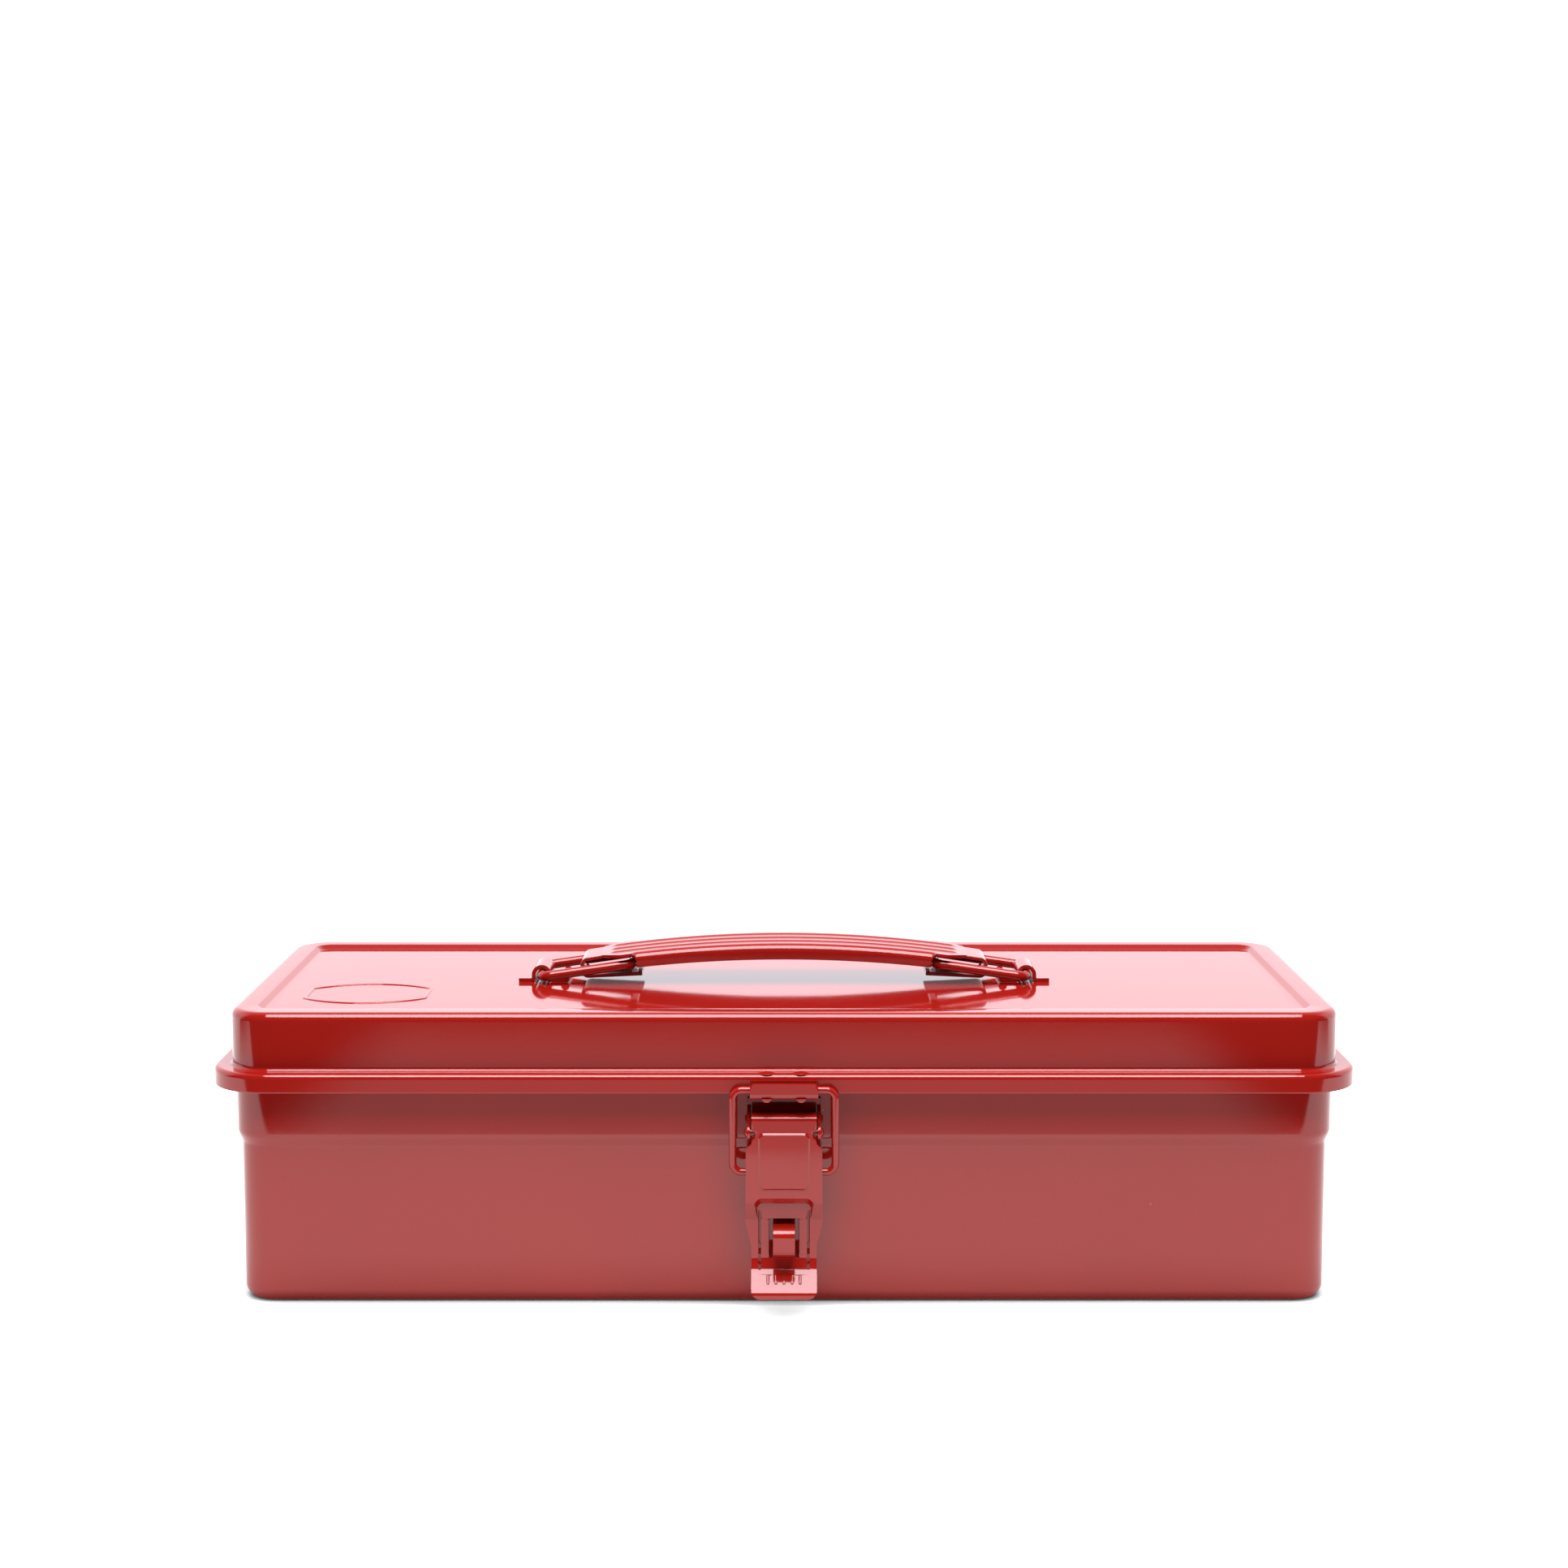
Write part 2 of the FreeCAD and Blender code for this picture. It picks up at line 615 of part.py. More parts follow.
def make_latch_base_plate():
    """Plate over the tub's shoulder, with two ears that hold the lever's pivot pin."""
    bottom_z = below_pivot(base_bottom)
    points = [(tub_lower_out, bottom_z), (tub_lower_out, shoulder_low_z),
              (tub_upper_out, shoulder_z), (tub_upper_out, pivot_z + base_top)]
    ear_low = lever_head_width / 2 + ear_gap
    half = ear_low + ear_sheet
    plate = bent_strip(points, -base_sheet, shoulder_r, 2 * half)
    outline = front_face([(half, pivot_z + base_top), (half, below_pivot(base_narrow_start)),
                          (base_low_width / 2, below_pivot(base_narrow_end)),
                          (base_low_width / 2, bottom_z)], out(pivot_out))
    plate = plate.common(outline.extrude(Vector(0, 2 * pivot_out, 0)))
    root = tub_upper_out + base_sheet / 2
    ears = []
    for side in (LEFT, RIGHT):
        x_low = min(side * ear_low, side * (ear_low + ear_sheet))
        web = side_plate([(root, pivot_z + ear_root_top), (root, pivot_z - ear_root_bottom),
                          (pivot_out, pivot_z - ear_r), (pivot_out, pivot_z + ear_r)],
                         x_low, x_low + ear_sheet)
        nose = rod(ear_r, Vector(x_low, out(pivot_out), pivot_z),
                   Vector(x_low + ear_sheet, out(pivot_out), pivot_z))
        ears.extend([web, nose])
    base = plate.fuse(ears)
    reach = lever_width
    base = base.cut(rod(pivot_pin_r + pivot_fit, Vector(-reach, out(pivot_out), pivot_z),
                        Vector(reach, out(pivot_out), pivot_z)))
    for x, z in rivet_places():
        base = base.cut(rod(rivet_shank_r + rivet_hole_gap, Vector(x, out(tub_lower_out - 1), z),
                            Vector(x, out(tub_lower_out + base_sheet + 1), z)))
    return only_solid(base)


def make_padlock_staple():
    """Strap loop welded to the base plate; it stands out through the lever's window."""
    root = tub_lower_out + base_sheet
    top_z = below_pivot(staple_top)
    bottom_z = below_pivot(staple_bottom)
    foot = root + staple_sheet
    points = [(foot, top_z + staple_foot), (foot, top_z), (staple_out, top_z),
              (staple_out, bottom_z), (foot, bottom_z), (foot, bottom_z - staple_foot)]
    return only_solid(bent_strip(points, -staple_sheet, staple_bend_r, staple_width))


def make_latch_base_rivets():
    """Four identical rivets through the base plate and the tub's front wall."""
    rivets = []
    outside = tub_lower_out + base_sheet
    inside = tub_lower_out - sheet
    dome_r = (rivet_head_r ** 2 + rivet_head_height ** 2) / (2 * rivet_head_height)
    for x, z in rivet_places():
        shank = rod(rivet_shank_r, Vector(x, out(outside + 0.1), z), Vector(x, out(inside - 0.1), z))
        parts = []
        for face, direction in ((outside, 1), (inside, -1)):
            rise = direction * rivet_head_height
            disc = rod(rivet_head_r, Vector(x, out(face), z), Vector(x, out(face + rise), z))
            ball = Part.makeSphere(dome_r, Vector(x, out(face + rise - direction * dome_r), z))
            parts.append(disc.common(ball))
        rivets.append(only_solid(shank.fuse(parts)))
    return Part.makeCompound(rivets)


def make_lever_pivot_pin():
    half = lever_head_width / 2 + ear_gap + ear_sheet + 0.05
    shaft = rod(pivot_pin_r, Vector(-half - 0.1, out(pivot_out), pivot_z),
                Vector(half + 0.1, out(pivot_out), pivot_z))
    dome_r = (pivot_head_r ** 2 + pivot_head_length ** 2) / (2 * pivot_head_length)
    heads = []
    for side in (LEFT, RIGHT):
        start = Vector(side * half, out(pivot_out), pivot_z)
        disc = rod(pivot_head_r, start, start + Vector(side * pivot_head_length, 0, 0))
        ball = Part.makeSphere(dome_r, start + Vector(side * (pivot_head_length - dome_r), 0, 0))
        heads.append(disc.common(ball))
    return only_solid(shaft.fuse(heads))


def lever_outline():
    """Right half of the lever's front view, top to bottom, as (x, height)."""
    head = lever_head_width / 2
    shoulder_low = pivot_z - lever_shoulder
    return [(head, pivot_z + lever_top), (head, shoulder_low + (lever_width - lever_head_width) / 2),
            (lever_width / 2, shoulder_low), (lever_waist_width / 2, below_pivot(lever_waist)),
            (lever_tab_width / 2, below_pivot(lever_narrow)), (lever_tab_width / 2, below_pivot(lever_tip))]


def lever_front_form():
    """All that lies inside the lever's front view, with the tab's two lower corners rounded."""
    y_near = out(staple_out + lever_tab_flare)
    tip_z = below_pivot(lever_tip)
    form = front_face(lever_outline(), y_near).extrude(Vector(0, out(lever_back_out) - y_near, 0))
    low_edges = [edge for edge in level_edges(form, tip_z) if edge.BoundBox.XLength < SAME_POINT]
    return form.makeFillet(lever_tab_corner_r, low_edges)


def turned_to_front(form, face_out, z):
    """A form drawn flat at the origin, stood up so that its top faces forward at this place."""
    form.rotate(Vector(0, 0, 0), X_AXIS, 90)
    form.translate(Vector(0, out(face_out), z))
    return form


def tab_ribs():
    """Short upright grip strokes on the tab."""
    tab_drop = (lever_tab_end - lever_tab_bend) * latch_stretch
    lean = math.degrees(math.atan2(lever_tab_flare, tab_drop))
    middle_z = below_pivot((lever_tab_bend + lever_tab_end) / 2)
    middle_out = lever_low_out + lever_tab_flare / 2
    ribs = []
    for index in range(tab_rib_count):
        x = (index - (tab_rib_count - 1) / 2) * tab_rib_pitch
        rib = rounded_prism(
            tab_rib_width, tab_rib_length, tab_rib_width / 3, -lever_sheet / 2, tab_rib_relief)
        rib.rotate(Vector(0, 0, 0), X_AXIS, 90 - lean)
        rib.translate(Vector(x, out(middle_out), middle_z))
        ribs.append(rib)
    return ribs


def rounded_head():
    """Form that rounds off the top corner of the lever's sides as the plate is bent."""
    half = lever_waist_width / 2
    block = box(-half, half, out(lever_face_out), out(lever_back_out),
                below_pivot(lever_tip), pivot_z + lever_top)
    corner = [edge for edge in level_edges(block, pivot_z + lever_top)
              if abs(edge.BoundBox.YMin - out(lever_face_out)) < SAME_POINT
              and edge.BoundBox.YLength < SAME_POINT]
    return block.makeFillet(2 * lever_sheet, corner)


def lever_side_line(depth):
    """Side view of all behind the lever's front, its front moved back by depth."""
    face = lever_face_out - depth
    low = lever_low_out - depth
    return [(lever_back_out, pivot_z + lever_top), (face, pivot_z + lever_top),
            (face, below_pivot(lever_step_start)), (low, below_pivot(lever_step_end)),
            (low, below_pivot(lever_waist)), (lever_back_out, below_pivot(lever_step_start))]


def lever_pocket(grow, low_end):
    """Sunk form where the lever's middle steps back, grown by the sheet for its outside."""
    depth = lever_face_out - lever_low_out
    spare = 1.0
    slope = pocket_slope_run / depth
    top_z = below_pivot(pocket_top) + grow
    low_z = below_pivot(low_end)
    middle = (top_z + low_z) / 2
    height = top_z - low_z
    run_both = pocket_slope_run + pocket_top_run
    run_shift = (pocket_top_run - pocket_slope_run) / 2
    mouth_width = pocket_width + 2 * grow
    floor = (mouth_width - 2 * pocket_slope_run, height - run_both,
             pocket_corner_r - pocket_slope_run + grow, -depth - grow)
    rim = (mouth_width + 2 * slope * spare, height + run_both * spare / depth,
           pocket_corner_r + slope * spare + grow, spare)
    form = rounded_taper(floor, rim, -run_shift, run_shift * spare / depth)
    return turned_to_front(form, lever_face_out, middle)


def lever_panel():
    """Raised panel on the lever's face, with sloping sides."""
    height = (panel_bottom - panel_top) * latch_stretch
    middle = below_pivot((panel_top + panel_bottom) / 2)
    sink = lever_sheet / 2
    slope = panel_slope_run / panel_relief
    root = rounded_prism(panel_width, height, panel_corner_r, -sink, 0.0)
    raised = rounded_taper((panel_width, height, panel_corner_r, 0.0),
                           (panel_width - 2 * slope * panel_relief, height - 2 * slope * panel_relief,
                            panel_corner_r - panel_slope_run, panel_relief))
    return turned_to_front(root.fuse(raised), lever_face_out, middle)


def lever_cuts():
    """Window, slits, notches round the pivot's heads, and the holes for pivot and bail."""
    half = lever_waist_width / 2
    far = staple_out + lever_tab_flare
    cuts = [box(-window_width / 2, window_width / 2, out(far), out(0),
                below_pivot(window_bottom), below_pivot(window_top))]
    for side in (LEFT, RIGHT):
        x = side * slit_spacing / 2
        cuts.append(box(x - slit_width / 2, x + slit_width / 2, out(far), out(0),
                        below_pivot(slit_bottom), below_pivot(slit_top)))
        notch_x = side * (lever_width / 2 - notch_inset)
        cuts.append(rod(pivot_head_r + notch_play, Vector(notch_x, out(far), pivot_z),
                        Vector(notch_x, out(pivot_out + pivot_pin_r), pivot_z)))
    for radius, distance, z in ((pivot_pin_r + pivot_fit, pivot_out, pivot_z),
                                (bail_wire_r + bail_fit, bail_lower_out, bail_lower_z)):
        cuts.append(rod(radius, Vector(-half - 1, out(distance), z), Vector(half + 1, out(distance), z)))
    return cuts


def make_latch_lever():
    """Over-centre lever: channel head, stepped window plate and flared finger tab."""
    half = lever_waist_width / 2
    line = [(lever_back_out, pivot_z + lever_top), (lever_face_out, pivot_z + lever_top),
            (lever_face_out, below_pivot(lever_step_start)), (lever_low_out, below_pivot(lever_step_end)),
            (lever_low_out, below_pivot(lever_tab_bend)),
            (lever_low_out + lever_tab_flare, below_pivot(lever_tab_end)),
            (lever_low_out + lever_tab_flare + lever_lip_flare, below_pivot(lever_tip))]
    bends = [lever_bend_r, lever_step_bend_r, lever_step_bend_r, lever_tab_bend_r, lever_bend_r]
    plate = bent_strip(line, -lever_sheet, bends, lever_waist_width)
    plate = plate.common(lever_front_form())
    outline = front_face(lever_outline(), out(lever_face_out + 1))
    inset = outline.makeOffset2D(-lever_sheet, 2)
    ring = outline.cut(inset).extrude(Vector(0, lever_face_out + 1 - lever_back_out, 0))
    flanges = ring.common(side_plate(lever_side_line(lever_sheet / 2), -half, half))
    tray = lever_pocket(lever_sheet, lever_step_end)
    tray = tray.common(side_plate(lever_side_line(lever_sheet / 4), -half, half))
    lever = plate.fuse([flanges.common(rounded_head()), tray])
    lever = lever.cut(lever_pocket(0.0, lever_waist))
    lever = lever.fuse([lever_panel()] + tab_ribs())
    return only_solid(lever.cut(lever_cuts()))


def make_latch_bail():
    """Closed wire loop from the lever up into the keeper hook."""
    run = bail_top_out - bail_lower_out
    rise = bail_top_z - bail_lower_z
    length = math.hypot(run, rise)
    loop = wire_loop(length, bail_width - 2 * bail_wire_r, bail_corner_r, bail_wire_r)
    loop.rotate(Vector(0, 0, 0), Z_AXIS, 90)
    loop.rotate(Vector(0, 0, 0), X_AXIS, 90 + math.degrees(math.atan2(run, rise)))
    loop.translate(Vector(0, out(bail_lower_out), bail_lower_z))
    return only_solid(loop)


def make_keeper_hook():
    """J hook welded to the lid's front skirt, open upwards."""
    bottom_z = rim_z - keeper_bottom_drop
    top_z = rim_z - rim_edge_r - 0.1
    lip_out = rim_overhang + keeper_reach
    points = [(rim_overhang, top_z), (rim_overhang, bottom_z), (lip_out, bottom_z),
              (lip_out, bottom_z + keeper_lip_height)]
    hook = bent_strip(points, keeper_sheet, keeper_bend_r, keeper_width)
    beads = []
    trims = []
    for side in (LEFT, RIGHT):
        x = side * keeper_bead_spacing / 2
        bead_z = bottom_z + keeper_bead_r - keeper_bead_depth
        start = Vector(x, out(rim_overhang + keeper_sheet), bead_z)
        end = Vector(x, out(lip_out + keeper_bead_depth / 2), bead_z)
        bead = rod(keeper_bead_r, start, end)
        beads.append(bead.cut(box(x - keeper_bead_r, x + keeper_bead_r, end.y - 1, start.y + 1,
                                  bottom_z + keeper_sheet / 2, bead_z + 2 * keeper_bead_r)))
        corner = side * keeper_width / 2
        lip_z = bottom_z + keeper_lip_height
        wedge = [Vector(corner, out(lip_out + 1), lip_z - keeper_lip_chamfer),
                 Vector(corner, out(lip_out + 1), lip_z),
                 Vector(corner - side * keeper_lip_chamfer, out(lip_out + 1), lip_z)]
        trims.append(Part.Face(Part.makePolygon(wedge + wedge[:1])).extrude(Vector(0, 3 + keeper_sheet, 0)))
    return only_solid(hook.fuse(beads).cut(trims))


# ---- handle --------------------------------------------------------------------------------
def make_handle_bracket(side):
    """Strap arched over the ring's outer bar, its two feet welded to the lid."""
    arch_inner = ring_wire_r + ring_fit
    arch_outer = arch_inner + bracket_sheet
    foot_top = recess_z + bracket_sheet
    crown_z = ring_axis_z + arch_outer
    outer_x = arch_outer + bracket_outer_foot
    inner_x = arch_outer + bracket_inner_foot
    points = [(outer_x, foot_top), (arch_outer, foot_top), (arch_outer, crown_z),
              (-arch_outer, crown_z), (-arch_outer, foot_top), (-inner_x, foot_top)]

    def place(a, b):
        return Vector(side * (ring_axis_x + a), -bracket_width / 2, b)

    arch = bracket_section(points, bracket_foot_bend_r, arch_inner, place)
    strap = arch.extrude(Vector(0, bracket_width, 0))
    curl_x = side * (ring_axis_x - inner_x)
    curl_z = recess_z + bracket_curl_r
    curl = rod(bracket_curl_r, Vector(curl_x, -bracket_width / 2, curl_z),
               Vector(curl_x, bracket_width / 2, curl_z))
    return only_solid(strap.fuse(curl))


def bracket_section(points, foot_bend, arch_r, place):
    """Section of the arched strap: tight bends at the feet, a round arch over the bar."""
    far_points = offset_line(points, bracket_sheet)
    near = [foot_bend, arch_r + bracket_sheet, arch_r + bracket_sheet, foot_bend]
    far = [foot_bend + bracket_sheet, arch_r, arch_r, foot_bend + bracket_sheet]
    edges = rounded_line(points, near, place)
    edges.extend(rounded_line(far_points, far, place))
    edges.append(Part.makeLine(place(*points[0]), place(*far_points[0])))
    edges.append(Part.makeLine(place(*points[-1]), place(*far_points[-1])))
    return Part.Face(Part.Wire(Part.__sortEdges__(edges)))


def make_handle_ring(side):
    """Wire link from the bracket in to the grip, lying a little above flat."""
    loop = wire_loop(ring_length, ring_width, ring_corner_r, ring_wire_r)
    loop.rotate(Vector(0, 0, 0), Y_AXIS, -ring_rest_angle)
    if side == RIGHT:
        loop.rotate(Vector(0, 0, 0), Z_AXIS, 180)
    loop.translate(Vector(side * ring_axis_x, 0, ring_axis_z))
    return only_solid(loop)


def arch_slab(radius, top_z, thickness, half_span, half_width):
    """Slab that follows an arch in the XZ plane, its top at top_z in the middle."""
    centre = Vector(0, -half_width, top_z - radius)
    outer = Part.makeCylinder(radius, 2 * half_width, centre, Y_AXIS)
    inner = Part.makeCylinder(radius - thickness, 2 * half_width, centre, Y_AXIS)
    keep = box(-half_span, half_span, -half_width, half_width, top_z - half_span, top_z + 1)
    return outer.cut(inner).common(keep)


def grip_plan(half_span, z_low, z_high):
    """Top-view form of the grip plate: full width, then narrowing to the tongues."""
    half = grip_width / 2
    neck = tongue_width / 2
    quarter = [(0, half), (tongue_neck_start, half), (tongue_neck_end, neck), (half_span, neck)]
    points = quarter + [(x, -y) for x, y in reversed(quarter)]
    points += [(-x, -y) for x, y in quarter[1:]] + [(-x, y) for x, y in reversed(quarter[1:])]
    corners = [Vector(x, y, z_low) for x, y in points]
    return Part.Face(Part.makePolygon(corners + corners[:1])).extrude(Vector(0, 0, z_high - z_low))


def arch_drop(x):
    """How far the grip's top has fallen at x from the middle."""
    return grip_arch_r - math.sqrt(grip_arch_r ** 2 - x ** 2)


def long_top_edges(slab, half_width):
    """The two top edges along an arched slab, half_width to each side."""
    return [edge for edge in slab.Edges
            if edge.Curve.TypeId == "Part::GeomCircle" and edge.BoundBox.YLength < SAME_POINT
            and abs(abs(edge.BoundBox.YMin) - half_width) < SAME_POINT
            and edge.BoundBox.ZMax > slab.BoundBox.ZMax - SAME_POINT]


def tongue_loop(side):
    """Curled end of the grip: down round the ring's inner bar and back under the plate."""
    curl_x = tongue_span / 2
    curl_top_z = grip_top_z - arch_drop(curl_x) - tongue_lap
    curl_low_z = curl_top_z - 2 * (grip_sheet + ring_wire_r) - tongue_end_slack
    return_z = grip_top_z - arch_drop(tongue_return) - 2 * (grip_sheet + ring_wire_r) - tongue_mouth_slack
    points = [(tongue_neck_start, grip_top_z - arch_drop(tongue_neck_start) - tongue_lap),
              (curl_x, curl_top_z), (curl_x, curl_low_z), (tongue_return, return_z)]

    def place(a, b):
        return Vector(side * a, -tongue_width / 2, b)

    face = bent_face(points, -grip_sheet, ring_wire_r - tongue_lap, place)
    return face.extrude(Vector(0, tongue_width, 0))


def make_handle_grip():
    """Pressed arched grip with turned-down sides, three long ribs and two curled tongues."""
    half = grip_width / 2
    neck = tongue_neck_end + tongue_neck_overlap
    under_r = grip_arch_r - grip_sheet
    under_z = grip_top_z - grip_sheet
    deep = 2 * grip_skirt_height + arch_drop(neck)
    full = arch_slab(grip_arch_r, grip_top_z, deep, neck, half)
    full = full.common(grip_plan(neck, recess_z, grip_top_z + 1))
    full = full.makeFillet(grip_edge_r, long_top_edges(full, half))
    hollow = arch_slab(under_r, under_z, deep, neck + 1, half - grip_sheet)
    hollow = hollow.makeFillet(grip_edge_r - grip_sheet, long_top_edges(hollow, half - grip_sheet))
    skirt_centre = Vector(0, -half, grip_top_z - grip_skirt_height - grip_skirt_arch_r)
    cuts = [hollow, Part.makeCylinder(grip_skirt_arch_r, grip_width, skirt_centre, Y_AXIS)]
    below = arch_slab(under_r, under_z, deep, neck + 1, half)
    for side in (LEFT, RIGHT):
        x_skirt = side * grip_skirt_span / 2
        x_far = side * (neck + 1)
        end = box(min(x_skirt, x_far), max(x_skirt, x_far), -half, half, recess_z, grip_top_z)
        cuts.append(below.common(end))
    plate = full
    for cut in cuts:
        plate = plate.cut(cut)
    bead_centre_r = grip_arch_r + grip_bead_relief - grip_bead_r
    beads = [arch_bead(bead_centre_r, row * grip_bead_pitch) for row in (-1, 0, 1)]
    return only_solid(plate.fuse([tongue_loop(LEFT), tongue_loop(RIGHT)] + beads))


def arch_bead(centre_r, y):
    """Half-round rib along the arch, with round ends."""
    half_angle = math.asin(grip_bead_span / 2 / grip_arch_r)
    centre = Vector(0, y, grip_top_z - grip_arch_r)
    points = []
    for angle in (-half_angle, 0.0, half_angle):
        points.append(centre + Vector(centre_r * math.sin(angle), 0, centre_r * math.cos(angle)))
    path = Part.Wire([Part.Arc(*points).toShape()])
    along = Vector(math.cos(half_angle), 0, math.sin(half_angle))
    section = Part.Wire([Part.Circle(points[0], along, grip_bead_r).toShape()])
    bead = path.makePipeShell([section], True, False)
    bead = bead.fuse([Part.makeSphere(grip_bead_r, points[0]), Part.makeSphere(grip_bead_r, points[2])])
    slab_low = Part.makeCylinder(grip_arch_r - grip_sheet / 2, 2 * grip_bead_r,
                                 Vector(0, y - grip_bead_r, grip_top_z - grip_arch_r), Y_AXIS)
    return bead.cut(slab_low)


# ---- all pieces ----------------------------------------------------------------------------
def build():
    pieces = {
        "body_shell": make_body_shell(),
        "lid_shell": make_lid_shell(),
        "latch_base_plate": make_latch_base_plate(),
        "padlock_staple": make_padlock_staple(),
        "latch_base_rivets": make_latch_base_rivets(),
        "lever_pivot_pin": make_lever_pivot_pin(),
        "latch_lever": make_latch_lever(),
        "latch_bail": make_latch_bail(),
        "keeper_hook": make_keeper_hook(),
        "handle_grip": make_handle_grip(),
    }
    for name, side in (("left", LEFT), ("right", RIGHT)):
        pieces["hinge_body_leaf_" + name] = make_hinge_body_leaf(side)
        pieces["hinge_lid_leaf_" + name] = make_hinge_lid_leaf(side)
        pieces["hinge_pin_" + name] = make_hinge_pin(side)
        pieces["handle_bracket_" + name] = make_handle_bracket(side)
        pieces["handle_ring_" + name] = make_handle_ring(side)
    return pieces


if __name__ == "__main__":
    os.makedirs("parts", exist_ok=True)
    for node, shape in build().items():
        shape.exportStep("parts/%s.step" % node)
        print(node, "volume %.1f" % shape.Volume, "valid", shape.isValid())
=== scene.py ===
"""Looks of the red enamelled steel hand box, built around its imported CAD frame.

Metres, in the frame of the CAD model: origin at the centre of the tub's bottom, front towards -Y.
Sizes in the classes below are in millimetres and turned into metres as the meshes are made.
"""

import json
import logging
import math
from dataclasses import dataclass, field
from enum import Enum
from typing import Any, Iterable

import bmesh
import bpy
from mathutils import Matrix, Vector


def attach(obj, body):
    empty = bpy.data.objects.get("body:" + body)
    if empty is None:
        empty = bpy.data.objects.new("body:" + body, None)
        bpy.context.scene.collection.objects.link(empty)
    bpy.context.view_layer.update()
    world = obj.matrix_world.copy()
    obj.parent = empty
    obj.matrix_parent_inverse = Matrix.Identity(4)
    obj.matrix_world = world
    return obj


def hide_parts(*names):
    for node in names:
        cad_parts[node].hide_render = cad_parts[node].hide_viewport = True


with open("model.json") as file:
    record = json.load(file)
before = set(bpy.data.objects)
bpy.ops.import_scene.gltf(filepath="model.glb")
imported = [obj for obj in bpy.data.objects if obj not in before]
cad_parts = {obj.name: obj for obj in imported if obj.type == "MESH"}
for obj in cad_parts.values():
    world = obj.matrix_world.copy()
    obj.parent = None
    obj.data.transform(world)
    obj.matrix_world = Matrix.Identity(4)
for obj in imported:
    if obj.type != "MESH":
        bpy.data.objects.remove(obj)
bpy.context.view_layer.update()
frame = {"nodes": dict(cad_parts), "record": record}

log = logging.getLogger("hand_box")
MM = 0.001
WELD_DISTANCE = 0.000002
Pair = tuple[float, float]
Triple = tuple[float, float, float]


class Body(Enum):
    """Moving bodies of the box."""

    TUB = "tub"
    LID = "lid"
    LEVER = "lever"
    BAIL = "bail"
    RING_LEFT = "ring_left"
    RING_RIGHT = "ring_right"
    GRIP = "grip"


class Slot(Enum):
    """Finish slots of the record."""

    BODY = "enamel_body"
    FITTINGS = "enamel_fittings"
    WIRE = "enamel_wire"
    GRIP = "enamel_grip"

    def material(self) -> bpy.types.Material:
        """The finished material of this slot."""
        return bpy.data.materials["gloss_" + self.value]


# ---- shader graph helpers ------------------------------------------------------------------
class Wire:
    """A node's output socket that takes part in Python arithmetic."""

    def __init__(self, graph: "Graph", socket: bpy.types.NodeSocket) -> None:
        """Keep the graph and the socket."""
        self.graph = graph
        self.socket = socket

    def __add__(self, other: Any) -> "Wire":
        """Sum."""
        return self.graph.math("ADD", self, other)

    __radd__ = __add__

    def __sub__(self, other: Any) -> "Wire":
        """Difference."""
        return self.graph.math("SUBTRACT", self, other)

    def __rsub__(self, other: Any) -> "Wire":
        """Difference, turned round."""
        return self.graph.math("SUBTRACT", other, self)

    def __mul__(self, other: Any) -> "Wire":
        """Product."""
        return self.graph.math("MULTIPLY", self, other)

    __rmul__ = __mul__

    def __truediv__(self, other: Any) -> "Wire":
        """Quotient."""
        return self.graph.math("DIVIDE", self, other)

    def __abs__(self) -> "Wire":
        """Size without sign."""
        return self.graph.math("ABSOLUTE", self)


